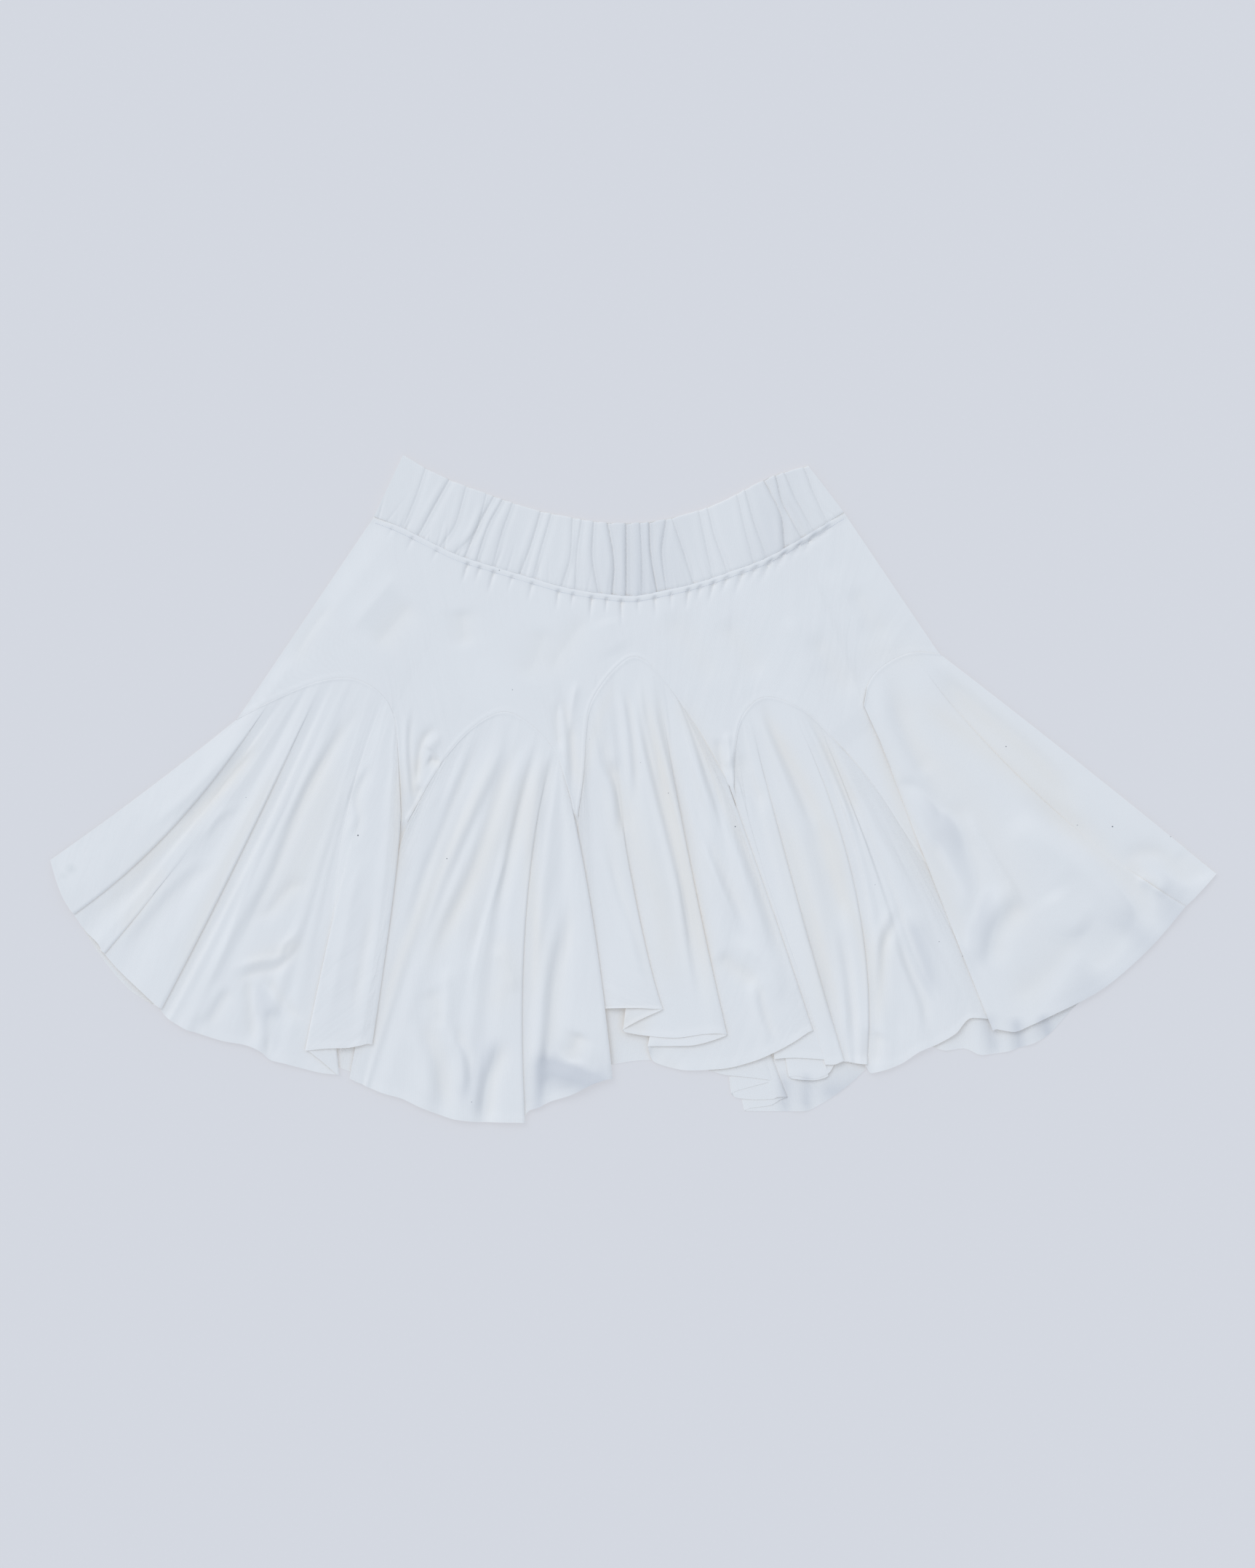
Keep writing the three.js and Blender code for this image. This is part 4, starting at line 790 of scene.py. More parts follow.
def shell(name, points, quads, uv, thickness, upright=0, raised=None, lifted=None, painted_light_and_shade=None):
    """A closed thin wall round a sheet. raised adds to its outer points and lifted to its inner ones."""
    across = points[quads[:, 2]] - points[quads[:, 0]]
    back = points[quads[:, 3]] - points[quads[:, 1]]
    facing = np.cross(across, back)
    facing /= np.maximum(np.linalg.norm(facing, axis=1), 1e-9)[:, None]
    normals = np.zeros(points.shape)
    for corner in quads.T:
        np.add.at(normals, corner, facing)
    length = np.linalg.norm(normals, axis=1)
    flat = length < 0.05
    normals[flat] = (0, 0, 1)
    length[flat] = 1
    normals /= length[:, None]
    normals[:upright] = (0, 0, 1)
    half = np.broadcast_to(np.asarray(thickness, float) / 2, len(points))[:, None]
    outer = points + normals * half
    inner = points - normals * half
    if raised is not None:
        outer[:, 2] += raised
    if lifted is not None:
        inner[:, 2] += lifted
    count = len(points)
    edges = np.vstack([quads[:, [i, (i + 1) % 4]] for i in range(4)])
    key = np.sort(edges, axis=1) @ [count, 1]
    _, first, uses = np.unique(key, return_index=True, return_counts=True)
    rim = edges[first[uses == 1]]
    rim_quads = np.column_stack([rim[:, 1], rim[:, 0], rim[:, 0] + count, rim[:, 1] + count])
    faces = np.vstack([quads, quads[:, ::-1] + count, rim_quads])
    mesh = bpy.data.meshes.new(name)
    mesh.from_pydata((np.vstack([outer, inner]) * MM).tolist(), [], faces.tolist())
    layer = mesh.uv_layers.new(name="cloth")
    both = np.vstack([uv, uv]) * MM
    layer.data.foreach_set("uv", both[faces.ravel()].ravel())
    # Painted bounce light and painted shade of each point, which the material reads
    shade = mesh.attributes.new("painted_light_and_shade", "FLOAT", "POINT")
    shade.data.foreach_set("value", np.tile(np.zeros(count) if painted_light_and_shade is None else painted_light_and_shade, 2))
    mesh.polygons.foreach_set("use_smooth", np.ones(len(faces), bool))
    mesh.set_sharp_from_angle(angle=math.radians(60))
    piece = bpy.data.objects.new(name, mesh)
    bpy.context.scene.collection.objects.link(piece)
    return piece


# How cloth lies where it turns back: offset across the fold, in tucks, and depth in layers
TURN = [(-0.4, 0), (0, 0.5), (-0.5, 1), (-1, 1.5), (-0.5, 2)]
CUT_TURN = [(-0.4, 0), (0, 0.55), (-1, 1.3)]
SINGLE_TURN = [(-0.45, -0.5), (0, 0), (-0.45, 0.5)]
LOOSE_SPREAD = 0.9
FULL_TUCK = 3
TURN_SEAM_SPREAD = 1.3
CUT_SEAM_SPREAD = 5


def fold_lines(fold, seam, cut, low):
    """The cloth lines of one fold: a single one, or the turn of a tucked one."""
    mid_z, hem_z = (low + FOLD_SHARE * (z - low) for z in (fold.mid_z, fold.hem_z))
    mid = np.array([fold.mid_x, fold.mid_y, mid_z], float)
    hem = np.array([fold.hem_x, fold.hem_y, hem_z], float)
    tucks = (fold.mid_tuck, fold.hem_tuck)
    if tucks == (0, 0):
        return [Line(fold.s, 0, mid, hem)]
    to_left = fold.side > 0 if fold.side else sum(tucks) > 0
    sign = 1 if to_left else -1
    turn = CUT_TURN if cut else TURN
    if fold.side:
        turn = [(across, down * fold.drop) for across, down in SINGLE_TURN]
    reverse = not fold.side and not to_left
    spread = CUT_SEAM_SPREAD if cut else TURN_SEAM_SPREAD
    seam_length = np.linalg.norm(seam[1] - seam[0]) * (len(seam) - 1)
    lines = []
    for i, (across, down) in enumerate(turn):
        order = (i - (len(turn) - 1) / 2) * (-1 if reverse else 1)
        s = min(max(fold.s + order * spread / seam_length, 0), 1)
        run = hem[:2] - along(seam, np.array([s]))[0]
        run /= np.linalg.norm(run)
        right = np.array([-run[1], run[0], 0])
        ends = []
        for point, tuck in zip((mid, hem), map(abs, tucks)):
            share = min(1, tuck / FULL_TUCK)
            offset = order * LOOSE_SPREAD * (1 - share) + sign * across * tuck
            ends.append(point + offset * right - [0, 0, down * LAYER_PITCH * share])
        lines.append(Line(s, down * LAYER_PITCH if cut else 0, *ends))
    return lines[::-1] if reverse else lines


def down_rows(length, step):
    """Rows from a seam down: close ones over the seam's ridge, then even ones."""
    near = np.array([0, 0.5, 1.1, 1.8, 2.6, 3.6]) / length
    rest = np.linspace(near[-1], 1, max(2, round(length / step)))
    return np.concatenate([near[:-1], rest])


def folded_panel(seam, folds, seam_height, lower, step, starts=False, ends=False, flank=1):
    """Points of a panel that hangs from a seam line, with its folds in the order of the cloth.

    From the flank on, where the cloth runs nearly along the seam, the folds die out towards it."""
    lines = []
    for i, fold in enumerate(folds):
        cut = (starts and i == 0) or (ends and i == len(folds) - 1)
        lines.extend(fold_lines(fold, seam, cut, lower))
    places = []
    for i, (line, following) in enumerate(zip(lines, lines[1:])):
        width = max(np.linalg.norm(following.hem - line.hem), np.linalg.norm(following.mid - line.mid))
        count = max(2, math.ceil(width / step))
        places.extend(i + np.arange(count) / count)
    places.append(len(lines) - 1)
    values = soft_curve([[line.s, line.drop, *line.mid, *line.hem] for line in lines])(places)
    s, drop, mid, hem = values[:, 0], values[:, 1], values[:, 2:5], values[:, 5:8]
    top = along(seam, s)
    longest = np.linalg.norm(hem[:, :2] - top, axis=1).max()
    rows = down_rows(longest, step * ROW_STEP / FOLD_STEP)
    v = rows[:, None, None]
    flat = (1 - v) * (1 - 2 * v) * top + 4 * v * (1 - v) * mid[:, :2] + v * (2 * v - 1) * hem[:, :2]
    start = seam_height(s) - drop
    height = soft_curve([start, mid[:, 2], hem[:, 2]])(2 * rows ** FOLD_RISE)
    from_seam = nearest(flat[:, :, 0], flat[:, :, 1], seam[::2])[0]
    on_flank = smooth_step((s - flank) / FLANK_START)
    height = start + (height - start) * (1 - on_flank * (1 - smooth_step(from_seam / FLANK_WIDTH)))
    return np.dstack([flat, np.maximum(height, lower)]), rows * longest


def side_height(distance):
    """The yoke's height at a distance from its side edges."""
    return FRONT_REST + (YOKE_LEVEL - FRONT_REST) * smooth_step(distance / SIDE_RISE)


def stepped_seams(seams):
    """Each seam line twice: the yoke's side of it and the godet's."""
    both = []
    for arch in seams:
        line = smooth_line(arch.points, ARCH_STEPS * FINE)
        neck = [end * FINE for end in arch.neck]
        both.append((neck, moved_right(line, -SEAM_GAP / 2), moved_right(line, SEAM_GAP / 2)))
    return both


# Columns across a tongue, closer at its seams
ACROSS_TONGUE = np.concatenate([[0, 0.015, 0.035], np.linspace(0.06, 0.94, 29), [0.965, 0.985, 1]])


def yoke_sheet(seams, rows, level, tucked=None, tongue_ends=()):
    """The yoke: a body from the waist seam down to the godets, with tongues between them."""
    lower, tongues = [], []
    for i, (neck, yoke_side, _) in enumerate(seams):
        lower.extend(yoke_side[neck[0]:neck[1] + 1])
        if i == len(seams) - 1:
            break
        next_neck, next_side, _ = seams[i + 1]
        left = yoke_side[neck[1]:]
        right = next_side[:next_neck[0] + 1][::-1]
        if len(right) == 1:
            right = tucked
        tongues.append((len(lower) - 1, left, right))
        lower.extend(left[0] + np.outer(ACROSS_TONGUE[1:-1], right[0] - left[0]))
    lower = np.array(lower)
    share = (lower[:, 0] - lower[0, 0]) / (lower[-1, 0] - lower[0, 0])
    top = along(waist_line, share)
    v = rows[:, None, None]
    flat = top * (1 - v) + lower * v
    sides = [np.linalg.norm(flat - flat[:, [end]], axis=2) for end in (0, -1)]
    body = np.dstack([flat, level(np.minimum(*sides))])
    points, quads, uv = grid_sheet(body)
    columns = len(lower)
    width = len(ACROSS_TONGUE)
    all_points, all_quads, all_uv = [points], [quads], [uv]
    start = len(points)
    bottom = len(points) - columns
    for number, (column, left, right) in enumerate(tongues):
        steps = max(len(left), len(right)) - 1
        t = np.arange(1, steps + 1) / steps
        a, b = along(left, t), along(right, t)
        w = ACROSS_TONGUE[None, :, None]
        strip = a[:, None] * (1 - w) + b[:, None] * w
        height = np.full(strip.shape[:2], level(np.array(float(SIDE_RISE))))
        if right is tucked:
            height -= np.minimum(YOKE_LEVEL - FRONT_REST, LAST_TONGUE_FALL * t)[:, None]
        if number < len(tongue_ends):
            t = np.arange(1, TAIL_STEPS + 1)[:, None, None] / TAIL_STEPS
            tail = strip[-1] * (1 - t) + np.array(tongue_ends[number]) * t
            tail[:, :, 0] += TAIL_WIDTH * w[:, :, 0]
            strip = np.vstack([strip, tail])
            fall = TAIL_FALL * smooth_step(t[:, :, 0] / TAIL_FALL_SHARE)
            height = np.vstack([height, height[-1] - fall])
        tongue, tongue_quads, tongue_uv = grid_sheet(np.dstack([strip, height]))
        above = bottom + column + np.arange(width)
        under = start + np.arange(width)
        join = np.column_stack([above[:-1], under[:-1], under[1:], above[1:]])
        all_quads.extend([join, tongue_quads + start])
        all_points.append(tongue)
        all_uv.append(tongue_uv + uv[bottom + column + width // 2])
        start += len(tongue)
    return np.vstack(all_points), np.vstack(all_quads), np.vstack(all_uv)


def finished(piece, node, material):
    """Puts a piece in its place on the frame and says what cloth it is."""
    piece.data.materials.append(material)
    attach(piece, "root")
    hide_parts(node)


def share_along(x, line):
    """Where x lies between the ends of a line, 0 to 1."""
    return (x - line[0][0]) / (line[-1][0] - line[0][0])


def front_band_points():
    """The front half of the waistband: points, wall, gathers raised in its outer face, and painted shade.
    """
    fraction = np.linspace(0, 1, BAND_COLUMNS)
    v = np.concatenate([[0, 0.008, 0.02, 0.035, 0.055], np.linspace(0.08, 0.95, BAND_ROWS), [0.975, 1]])
    top, seam = along(band_top_line, fraction), along(waist_line, fraction)
    flat = top * (1 - v[:, None, None]) + seam * v[:, None, None]
    down = v[:, None] * BAND_HEIGHT
    up = BAND_HEIGHT - down
    trough = np.zeros(flat.shape[:2])
    swell = np.zeros(flat.shape[:2])
    for gather in BAND_GATHERS:
        halfway = (share_along(gather.mid_x, BAND_TOP) + share_along(gather.mid_x, WAIST_SEAM)) / 2
        path = [share_along(gather.top_x, BAND_TOP), halfway, share_along(gather.seam_x, WAIST_SEAM)]
        across = soft_curve(path)(2 * v)[:, None]
        away = (fraction - across) * BAND_LENGTH
        pinch = np.exp(-np.abs(away / PINCH_HALF) ** 1.4)
        roll = np.exp(-(((away - ROLL_PLACE) / (ROLL_WIDTH * gather.half)) ** 2))
        tighter = sum(more * np.exp(-(((gather.mid_x - x) / wide) ** 2)) for x, wide, more in TIGHT_PLACES)
        deep = gather.depth * (1 + tighter)
        trough += deep * (PINCH_SHARE * pinch + ROLL_SHARE * roll)
        swell += deep * np.exp(-(((away + SWELL_PLACE) / SWELL_HALF) ** 2))
    for pucker in PUCKERS:
        away = (fraction - pucker.place) * BAND_LENGTH + pucker.lean * up
        near_seam = np.exp(-((up / pucker.length) ** 2))
        trough += pucker.depth * near_seam * np.exp(-((away / PUCKER_HALF) ** 2))
    ends = smooth_step(fraction * 9) * smooth_step((1 - fraction) * 30)
    middle = np.sin(math.pi * (0.1 + 0.8 * v))[:, None]
    raised = ends * (CROWN * middle + SWELL_SHARE * swell * middle) - trough
    raised = np.maximum(raised, -DEEPEST_GATHER)
    over_top = np.sqrt(1 - (1 - down / TOP_ROUND).clip(0, 1) ** 2)
    at_seam = np.sqrt(1 - (1 - up / SEAM_ROUND).clip(0, 1) ** 2)
    top_share = TOP_WALL + (1 - TOP_WALL) * over_top
    seam_share = SEAM_WALL + (1 - SEAM_WALL) * at_seam
    wall = BAND_CLOTH * np.minimum(top_share, seam_share)
    flat[:, :, 1] -= (1 - v)[:, None] ** 6 * TOP_DIP * trough
    grid = np.dstack([flat, np.full(trough.shape, BAND_MIDDLE)])
    # Painted shade where the gathers are tighter
    painted_light_and_shade = np.zeros(trough.shape)
    for x, wide, more in TIGHT_PLACES:
        painted_light_and_shade -= BAND_PAINTED_SHADE * more * np.exp(-(((flat[:, :, 0] - x) / (BAND_SHADE_WIDTH * wide)) ** 2))
    return grid, np.broadcast_to(wall, trough.shape).ravel(), raised.ravel(), painted_light_and_shade.ravel()


def back_band_points():
    """The back half of the waistband, with low gathers round its lower edges."""
    fraction, v = np.linspace(0, 1, BACK_BAND_COLUMNS), np.linspace(0, 1, BACK_BAND_ROWS)
    top, seam = along(band_top_line, fraction), along(waist_line, fraction)
    flat = top * (1 - v[:, None, None]) + seam * v[:, None, None]
    lifted = np.zeros(flat.shape[:2])
    for gather in BAND_GATHERS:
        lean = BACK_GATHER_LEAN * (v - 0.5)[:, None]
        centre = 1 - share_along(gather.seam_x, WAIST_SEAM)
        away = (fraction - centre - lean) * BAND_LENGTH
        lifted += BACK_GATHER_SHARE * gather.depth * np.exp(-np.abs(away / gather.half) ** 1.4)
    grid = np.dstack([flat, np.full(lifted.shape, BACK_BAND_MIDDLE)])
    return grid, np.minimum(lifted, HIGHEST_BACK_GATHER).ravel()


def node(tree, kind, inputs=None, **settings):
    """A node with its settings and its inputs, each a value or another node's output."""
    made = tree.nodes.new(kind)
    for name, value in settings.items():
        setattr(made, name, value)
    for socket, value in (inputs or {}).items():
        if isinstance(value, bpy.types.NodeSocket):
            tree.links.new(value, made.inputs[socket])
        else:
            made.inputs[socket].default_value = value
    return made


def maths(tree, operation, *values):
    """The result of a calculation on values or outputs."""
    return node(tree, "ShaderNodeMath", dict(enumerate(values)), operation=operation).outputs[0]


def vector_maths(tree, operation, first, second, output="Vector"):
    """The result of a calculation on two vectors."""
    return node(tree, "ShaderNodeVectorMath", {0: first, 1: second}, operation=operation).outputs[output]


def ranged(tree, value, low, high, at_low, at_high):
    """A value brought from one range to another, and kept inside it."""
    ports = {0: value, 1: low, 2: high, 3: at_low, 4: at_high}
    return node(tree, "ShaderNodeMapRange", ports).outputs[0]


def blended(tree, share, first, second, blend_type="MIX"):
    """Two colours mixed by a share of the second."""
    ports = {0: share, 6: first, 7: second}
    return node(tree, "ShaderNodeMix", ports, data_type="RGBA", blend_type=blend_type).outputs[2]


def group(name, sockets):
    """An empty node group with its named sockets: (name, way, type, value)."""
    tree = bpy.data.node_groups.new(name, "ShaderNodeTree")
    for label, way, kind, value in sockets:
        socket = tree.interface.new_socket(label, in_out=way, socket_type=kind)
        if value is not None:
            socket.default_value = value
    return tree, tree.nodes.new("NodeGroupInput").outputs, tree.nodes.new("NodeGroupOutput").inputs


def knit_group():
    """Fine jersey stitches and the soft streaks of worn cloth, as a normal and a painted shade in the
    valleys between the loops.
    """
    tree, given, result = group("jersey_knit", [
        ("Wale", "INPUT", "NodeSocketFloat", 0.00085),
        ("Course", "INPUT", "NodeSocketFloat", 0.0007),
        ("Depth", "INPUT", "NodeSocketFloat", 0.00006),
        ("Streak depth", "INPUT", "NodeSocketFloat", 0.0006),
        ("Normal", "OUTPUT", "NodeSocketVector", None),
        ("Shade", "OUTPUT", "NodeSocketFloat", None),
    ])
    uv = node(tree, "ShaderNodeUVMap", uv_map="cloth").outputs["UV"]
    parts = node(tree, "ShaderNodeSeparateXYZ", {0: uv}).outputs
    wale = maths(tree, "DIVIDE", parts["X"], given["Wale"])
    course = maths(tree, "DIVIDE", parts["Y"], given["Course"])
    leg = maths(tree, "PINGPONG", wale, 0.5)
    slant = maths(tree, "MULTIPLY_ADD", leg, 1.4, course)
    loop = maths(tree, "SINE", maths(tree, "MULTIPLY", slant, 2 * math.pi))
    rib = maths(tree, "ABSOLUTE", maths(tree, "SINE", maths(tree, "MULTIPLY", wale, math.pi)))
    stitch = maths(tree, "MULTIPLY_ADD", loop, 0.3, rib)
    knit = node(tree, "ShaderNodeBump", {"Strength": 0.5, "Distance": given["Depth"], "Height": stitch})
    long_way = vector_maths(tree, "MULTIPLY", uv, (90, 16, 1))
    streak = node(tree, "ShaderNodeTexNoise", {"Vector": long_way, "Scale": 1.0, "Detail": 2.0})
    streaks = node(tree, "ShaderNodeBump", {
        "Strength": 0.8, "Distance": given["Streak depth"], "Height": streak.outputs[0],
        "Normal": knit.outputs[0],
    })
    tree.links.new(streaks.outputs[0], result["Normal"])
    tree.links.new(stitch, result["Shade"])
    return tree


def spot_group():
    """A round spot: 1 inside, 0 outside."""
    tree, given, result = group("spot", [
        ("Centre", "INPUT", "NodeSocketVector", None),
        ("Radius", "INPUT", "NodeSocketFloat", 0.001),
        ("Softness", "INPUT", "NodeSocketFloat", 0.0003),
        ("Mask", "OUTPUT", "NodeSocketFloat", None),
    ])
    place = node(tree, "ShaderNodeTexCoord").outputs["Object"]
    flat = vector_maths(tree, "MULTIPLY", place, (1, 1, 0))
    away = vector_maths(tree, "DISTANCE", flat, given["Centre"], "Value")
    inside = maths(tree, "SUBTRACT", given["Radius"], away)
    mask = node(tree, "ShaderNodeClamp", {0: maths(tree, "DIVIDE", inside, given["Softness"])}).outputs[0]
    tree.links.new(mask, result["Mask"])
    return tree


def cloth_material(name, colour, shaded, knit_depth, streak_depth, marks=False):
    """White jersey: a little mottled, finely knitted and matt with a faint nap, with painted bounce light
    and painted shade read from each piece.
    """
    material = bpy.data.materials.new(name)
    material.use_nodes = True
    tree = material.node_tree
    shader = tree.nodes["Principled BSDF"]
    shader.inputs["Roughness"].default_value = 0.86
    shader.inputs["Specular IOR Level"].default_value = 0.25
    shader.inputs["Sheen Weight"].default_value = 0.12
    shader.inputs["Sheen Roughness"].default_value = 0.6
    knit = node(tree, "ShaderNodeGroup", node_tree=knit_tree)
    knit.inputs["Depth"].default_value = knit_depth
    knit.inputs["Streak depth"].default_value = streak_depth
    place = node(tree, "ShaderNodeTexCoord").outputs["Object"]
    mottle = node(tree, "ShaderNodeTexNoise", {"Vector": place, "Scale": 22.0, "Detail": 4.0})
    mixed = blended(tree, ranged(tree, mottle.outputs[0], 0.3, 0.7, 0.0, 1.0), shaded, colour)
    # Painted shade in the valleys between the knit's loops
    dip = ranged(tree, knit.outputs["Shade"], 0.0, 1.2, 0.965, 1.0)
    colours = vector_maths(tree, "MULTIPLY", mixed, dip)
    # Painted bounce light and painted shade, read from each piece's attribute
    attribute = node(tree, "ShaderNodeAttribute", attribute_name="painted_light_and_shade", attribute_type="GEOMETRY")
    painted_light_and_shade = attribute.outputs["Fac"]
    bounce_share = ranged(tree, painted_light_and_shade, 0.0, MOST_PAINTED_BOUNCE, 0.0, 1.0)
    shade_share = ranged(tree, painted_light_and_shade, 0.0, DEEPEST_PAINTED_SHADE, 0.0, 1.0)
    with_bounce = blended(tree, bounce_share, colours, PAINTED_BOUNCE_TINT, "MULTIPLY")
    last = blended(tree, shade_share, with_bounce, PAINTED_SHADE_TINT, "MULTIPLY")
    if marks:
        lint = [(row, LINT_COLOUR, 0.0003, 0.9) for row in LINT]
        smudges = [(row, SMUDGE_COLOUR, 0.005, 0.3) for row in SMUDGE]
        for mark, tint, softness, strength in lint + smudges:
            spot = node(tree, "ShaderNodeGroup", node_tree=spot_tree)
            spot.inputs["Centre"].default_value = (mark.x * MM, mark.y * MM, 0)
            spot.inputs["Radius"].default_value = mark.size * MM / 2
            spot.inputs["Softness"].default_value = softness
            amount = maths(tree, "MULTIPLY", spot.outputs[0], strength)
            last = blended(tree, amount, last, tint)
    tree.links.new(last, shader.inputs["Base Color"])
    tree.links.new(knit.outputs["Normal"], shader.inputs["Normal"])
    return material


def plain_material(name, colour, roughness):
    """An even finish with a fine grain."""
    material = bpy.data.materials.new(name)
    material.use_nodes = True
    tree = material.node_tree
    shader = tree.nodes["Principled BSDF"]
    shader.inputs["Roughness"].default_value = roughness
    place = node(tree, "ShaderNodeTexCoord").outputs["Object"]
    grain = node(tree, "ShaderNodeTexNoise", {"Vector": place, "Scale": 400.0, "Detail": 2.0})
    dark = tuple(0.97 * value for value in colour[:3]) + (1,)
    mixed = blended(tree, grain.outputs[0], dark, colour)
    tree.links.new(mixed, shader.inputs["Base Color"])
    return material


def stitch_row(name, path, spacing, length, width, material):
    """Stitches laid along a path, made by a node tree and kept as a mesh."""
    mesh = bpy.data.meshes.new(name)
    mesh.from_pydata((path * MM).tolist(), [(i, i + 1) for i in range(len(path) - 1)], [])
    row = bpy.data.objects.new(name, mesh)
    bpy.context.scene.collection.objects.link(row)
    tree = bpy.data.node_groups.new(name + "_layout", "GeometryNodeTree")
    face = tree.interface
    face.new_socket("Geometry", in_out="INPUT", socket_type="NodeSocketGeometry")
    wanted = {}
    for label, value in (("Spacing", spacing), ("Length", length), ("Width", width)):
        socket = face.new_socket(label, in_out="INPUT", socket_type="NodeSocketFloat")
        socket.default_value = 0.001
        wanted[socket.identifier] = value * MM
    face.new_socket("Geometry", in_out="OUTPUT", socket_type="NodeSocketGeometry")
    given = tree.nodes.new("NodeGroupInput").outputs
    curve = node(tree, "GeometryNodeMeshToCurve", {"Mesh": given["Geometry"]}).outputs[0]
    steps = tree.nodes.new("GeometryNodeResampleCurve")
    set_choice(steps, "Length")
    tree.links.new(curve, steps.inputs["Curve"])
    tree.links.new(given["Spacing"], steps.inputs["Length"])
    tangent = tree.nodes.new("GeometryNodeInputTangent").outputs[0]
    turn = node(tree, "FunctionNodeAlignRotationToVector", {"Vector": tangent}, axis="X").outputs[0]
    bead = node(tree, "GeometryNodeMeshUVSphere", {"Segments": 8, "Rings": 6, "Radius": 0.5})
    size = node(tree, "ShaderNodeCombineXYZ", {0: given["Length"], 1: given["Width"], 2: given["Width"]})
    stitches = node(tree, "GeometryNodeInstanceOnPoints", {
        "Points": steps.outputs[0], "Instance": bead.outputs["Mesh"],
        "Rotation": turn, "Scale": size.outputs[0],
    })
    real = node(tree, "GeometryNodeRealizeInstances", {0: stitches.outputs[0]}).outputs[0]
    coloured = node(tree, "GeometryNodeSetMaterial", {"Geometry": real, "Material": material}).outputs[0]
    tree.links.new(coloured, tree.nodes.new("NodeGroupOutput").inputs[0])
    modifier = row.modifiers.new("stitches", "NODES")
    modifier.node_group = tree
    for identifier, value in wanted.items():
        modifier[identifier] = value
    seen = row.evaluated_get(bpy.context.evaluated_depsgraph_get())
    made = bpy.data.meshes.new_from_object(seen)
    row.modifiers.clear()
    row.data = made
    made.polygons.foreach_set("use_smooth", np.ones(len(made.polygons), bool))
    return row


def set_choice(made, value):
    """A node's choice, which newer versions keep in a menu socket."""
    if hasattr(made, "mode"):
        made.mode = value.upper()
    else:
        made.inputs["Mode"].default_value = value


def curl(rows_run, amount):
    """How much the raw hem curls up over its last millimetres."""
    from_hem = rows_run[-1] - rows_run
    return amount * smooth_step(1 - from_hem / CURL_LENGTH)[:, None]


# Small puckers of the waistband over the seam
chance = random.Random(5)
PUCKERS = table("place length lean depth", [
    ((i + chance.uniform(0.1, 0.9)) / PUCKER_COUNT, chance.uniform(5, 16), chance.uniform(-0.25, 0.25),
     chance.uniform(0.1, 0.45))
    for i in range(PUCKER_COUNT)
])
band_top_line = smooth_line(BAND_TOP, LINE_STEPS)
waist_line = smooth_line(WAIST_SEAM, LINE_STEPS)
BAND_LENGTH = np.linalg.norm(np.diff(waist_line, axis=0), axis=1).sum()

knit_tree = knit_group()
spot_tree = spot_group()
cloth = cloth_material("white_jersey", FRONT_WHITE, FRONT_SHADED, 0.00006, 0.0006, marks=True)
inner_cloth = cloth_material("white_jersey_inside", FRONT_WHITE, FRONT_SHADED, 0.00008, 0.0004)
band_cloth = cloth_material("white_jersey_waistband", BAND_WHITE, BAND_SHADED, 0.00006, 0.0003)
thread = plain_material("thread_with_painted_shade", THREAD_WITH_PAINTED_SHADE, 0.7)

front_seams = stepped_seams(FRONT_SEAMS)
back_seams = stepped_seams(BACK_SEAMS)


def add_waistband():
    """Both halves of the waistband and the two rows of stitches at its seam."""
    grid, wall, raised, painted_light_and_shade = front_band_points()
    points, quads, uv = grid_sheet(grid)
    front = shell("front_waistband", points, quads, uv, wall, raised=raised, painted_light_and_shade=painted_light_and_shade)
    for name, below in STITCH_ROWS:
        path = moved_right(waist_line, below)[2:-2]
        sides = np.minimum(*[np.linalg.norm(path - waist_line[end], axis=1) for end in (0, -1)])
        z = YOKE_LEVEL + CLOTH / 2 + STITCH_LIFT + side_height(sides) - YOKE_LEVEL
        row = stitch_row(name, np.column_stack([path, z]), *STITCH, thread)
        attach(row, "root")
    finished(front, "waistband_front", band_cloth)
    grid, lifted = back_band_points()
    points, quads, uv = grid_sheet(grid)
    back = shell("back_waistband", points, quads, uv, BAND_CLOTH, lifted=lifted)
    finished(back, "waistband_back", band_cloth)


def add_yokes():
    """The front yoke, with its creases and the welt of the waist seam, and the plain back one."""
    rows = down_rows(YOKE_LENGTH, YOKE_STEP)
    tucked = smooth_line(LAST_TONGUE_RIGHT, 60)
    points, quads, uv = yoke_sheet(front_seams, rows, side_height, tucked, TONGUE_ENDS)
    away = np.full(len(points), np.inf)
    for _, yoke_side, _ in front_seams:
        away = np.minimum(away, nearest(points[:, 0], points[:, 1], yoke_side[::4])[0])
    raised = YOKE_RIDGE * seam_relief(away)
    from_waist = nearest(points[:, 0], points[:, 1], waist_line[::2])[0]
    welt = WELT_HEIGHT * np.exp(-np.abs((from_waist - WELT_MIDDLE) / WELT_HALF) ** 3)
    sunk = relief(points) * smooth_step((from_waist - WELT_MIDDLE) / WELT_RUN)
    points[:, 2] += sunk + raised + welt
    front = shell("front_yoke", points, quads, uv, CLOTH, painted_light_and_shade=painted_bounce_and_shade(points, sunk))
    finished(front, "yoke_front", cloth)

    def back_height(distance):
        return np.full(np.shape(distance), BACK_LEVEL - BACK_SINK)

    points, quads, uv = yoke_sheet(back_seams, down_rows(YOKE_LENGTH, BACK_YOKE_STEP), back_height)
    back = shell("back_yoke", points, quads, uv, BACK_CLOTH)
    finished(back, "yoke_back", inner_cloth)


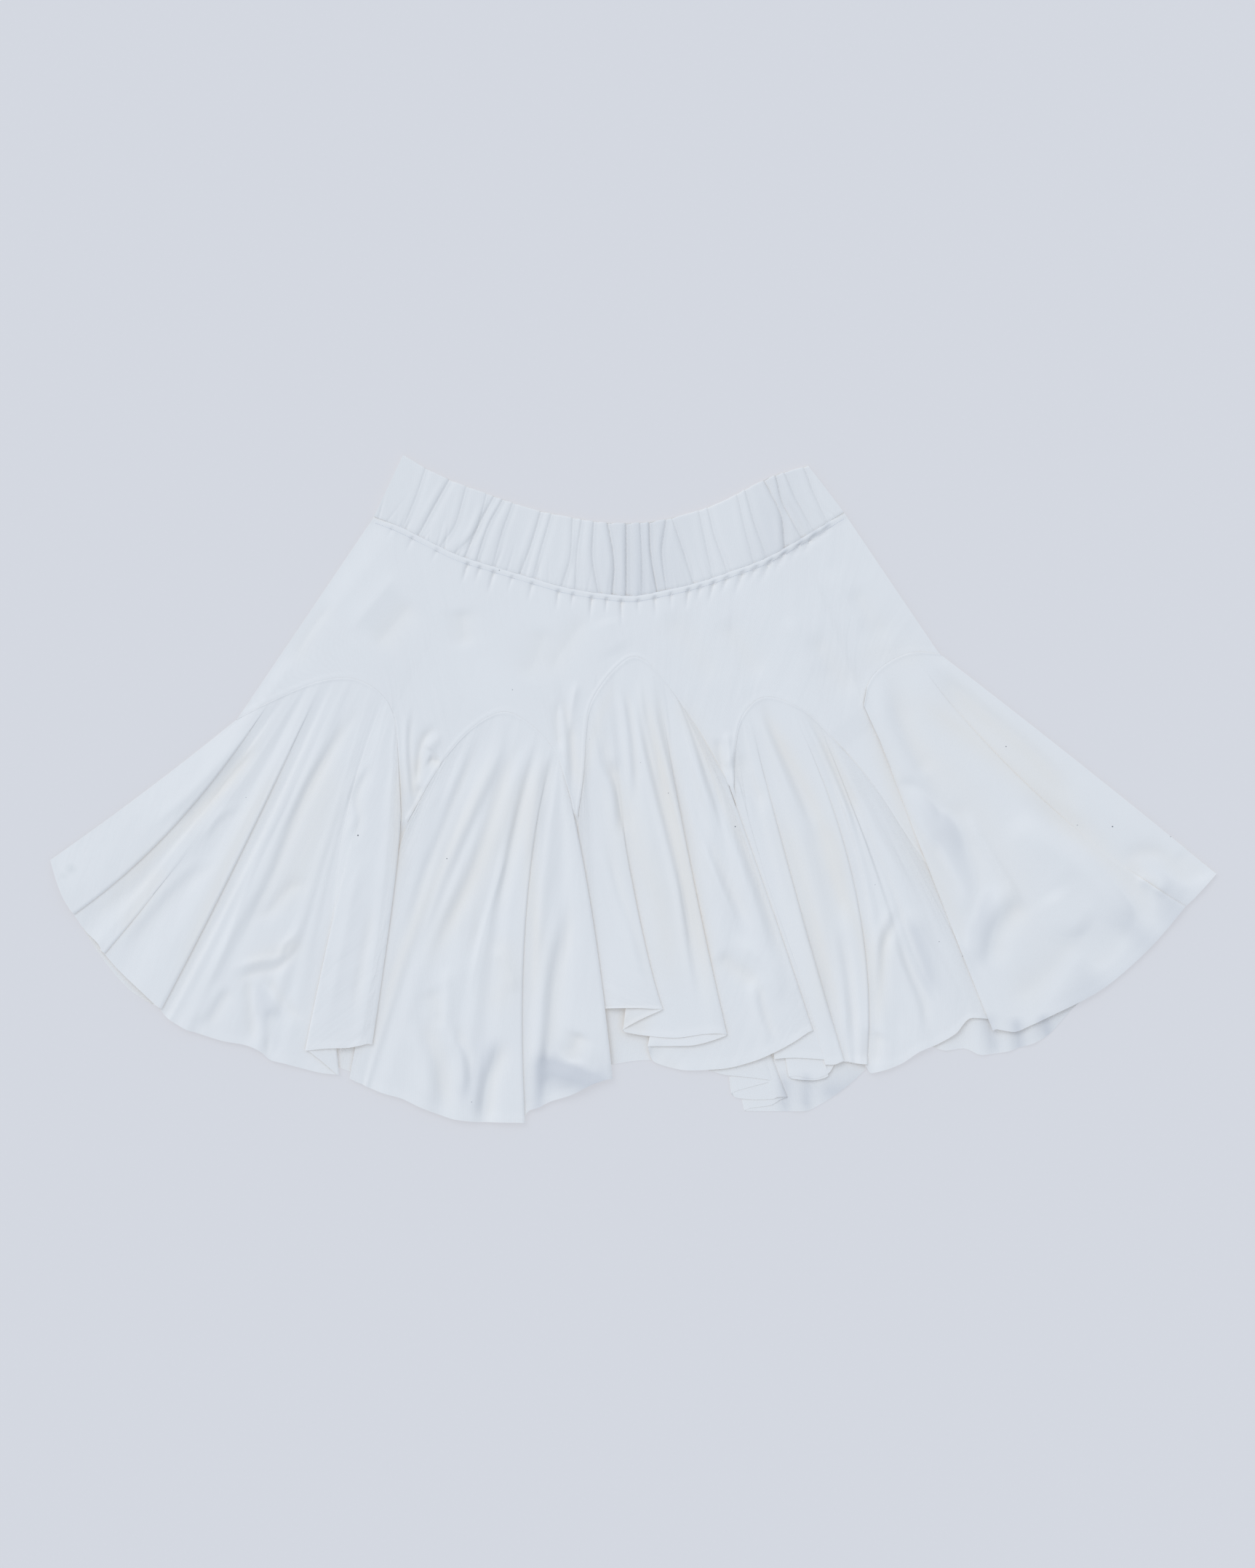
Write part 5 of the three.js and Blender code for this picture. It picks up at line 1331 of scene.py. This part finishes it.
def add_front_godets():
    """The five front godets, left to right, with their folds and creases."""
    for i, (godet, (_, _, seam)) in enumerate(zip(FRONT_FOLDS, front_seams)):
        left, left_to, right, right_from = godet.feet

        def seam_height(s):
            left_rise = smooth_step(s / left_to)
            right_fall = smooth_step((s - right_from) / (min(1, right_from + FOOT_SHARE) - right_from))
            return YOKE_LEVEL + (left - YOKE_LEVEL) * (1 - left_rise) + (right - YOKE_LEVEL) * right_fall

        grid, run = folded_panel(seam, godet.folds, seam_height, FRONT_REST, FOLD_STEP,
                                 godet.starts, godet.ends, right_from)
        grid[:, :, 2] += curl(run, FRONT_CURL) + GODET_RIDGE * seam_relief(run)[:, None]
        points, quads, uv = grid_sheet(grid)
        sunk = relief(points)
        points[:, 2] = kept_above(points[:, 2] + sunk, LOWEST_FRONT)
        piece = shell(f"front_godet_{i + 1}", points, quads, uv, CLOTH, upright=grid.shape[1],
                      painted_light_and_shade=painted_bounce_and_shade(points, sunk))
        finished(piece, f"godet_front_{i + 1}", cloth)


def add_back_godets():
    """The five back godets, left to right: flat, but for the folds of their hems."""

    def seam_height(s):
        return np.full(np.shape(s), BACK_LEVEL)

    for i, (folds, (_, _, seam)) in enumerate(zip(BACK_FOLDS, back_seams)):
        grid, run = folded_panel(seam, folds, seam_height, BACK_LEVEL, BACK_STEP)
        near_hem = smooth_step((run / run[-1] - 1 + BACK_FOLD_SHARE) / BACK_FOLD_SHARE)[:, None]
        hem = grid[-1, :, 2]
        grid[:, :, 2] = BACK_LEVEL + (hem - BACK_LEVEL) * near_hem + curl(run, BACK_CURL) - BACK_SINK
        points, quads, uv = grid_sheet(grid)
        piece = shell(f"back_godet_{i + 1}", points, quads, uv, BACK_CLOTH, upright=grid.shape[1],
                      painted_light_and_shade=painted_bounce_and_shade(points))
        finished(piece, f"godet_back_{i + 1}", inner_cloth)


def add_floor():
    """The plain pale floor, part of whose light is its own."""
    mesh = bpy.data.meshes.new("floor")
    half = FLOOR_HALF
    corners = [(-half, -half, 0), (half, -half, 0), (half, half, 0), (-half, half, 0)]
    mesh.from_pydata(corners, [], [(0, 1, 2, 3)])
    floor = bpy.data.objects.new("floor", mesh)
    bpy.context.scene.collection.objects.link(floor)
    material = plain_material("pale_floor", FLOOR_COLOUR, 0.95)
    shader = material.node_tree.nodes["Principled BSDF"]
    shader.inputs["Specular IOR Level"].default_value = 0
    shader.inputs["Emission Color"].default_value = FLOOR_GLOW
    shader.inputs["Emission Strength"].default_value = 1
    mesh.materials.append(material)


def add_lights():
    """A soft dome, and a broad key light of which only a share casts shadows."""
    world = bpy.data.worlds.new("studio")
    bpy.context.scene.world = world
    world.use_nodes = True
    sky = world.node_tree.nodes["Background"].inputs
    sky["Color"].default_value = SKY_COLOUR
    sky["Strength"].default_value = SKY_STRENGTH
    for name, share, shadows in (("key", KEY_SHADOWED, True), ("fill", 1 - KEY_SHADOWED, False)):
        lamp = bpy.data.lights.new(name, "SUN")
        lamp.color = KEY_COLOUR
        lamp.energy = KEY_STRENGTH * share
        lamp.angle = math.radians(KEY_WIDTH)
        lamp.use_shadow = shadows
        light = bpy.data.objects.new(name, lamp)
        light.rotation_mode = "QUATERNION"
        light.rotation_quaternion = Vector(KEY_FROM).to_track_quat("Z", "Y")
        bpy.context.scene.collection.objects.link(light)


def add_camera():
    """The camera looks straight down on the skirt."""
    data = bpy.data.cameras.new("camera")
    data.sensor_width = SENSOR
    data.lens = SENSOR * CAMERA_PLACE[2] / VIEW_HEIGHT
    camera = bpy.data.objects.new("camera", data)
    camera.location = CAMERA_PLACE
    bpy.context.scene.collection.objects.link(camera)
    bpy.context.scene.camera = camera


add_waistband()
add_yokes()
add_front_godets()
add_back_godets()
add_floor()
add_lights()
add_camera()
bpy.context.scene.view_settings.view_transform = "Standard"

bpy.context.view_layer.update()
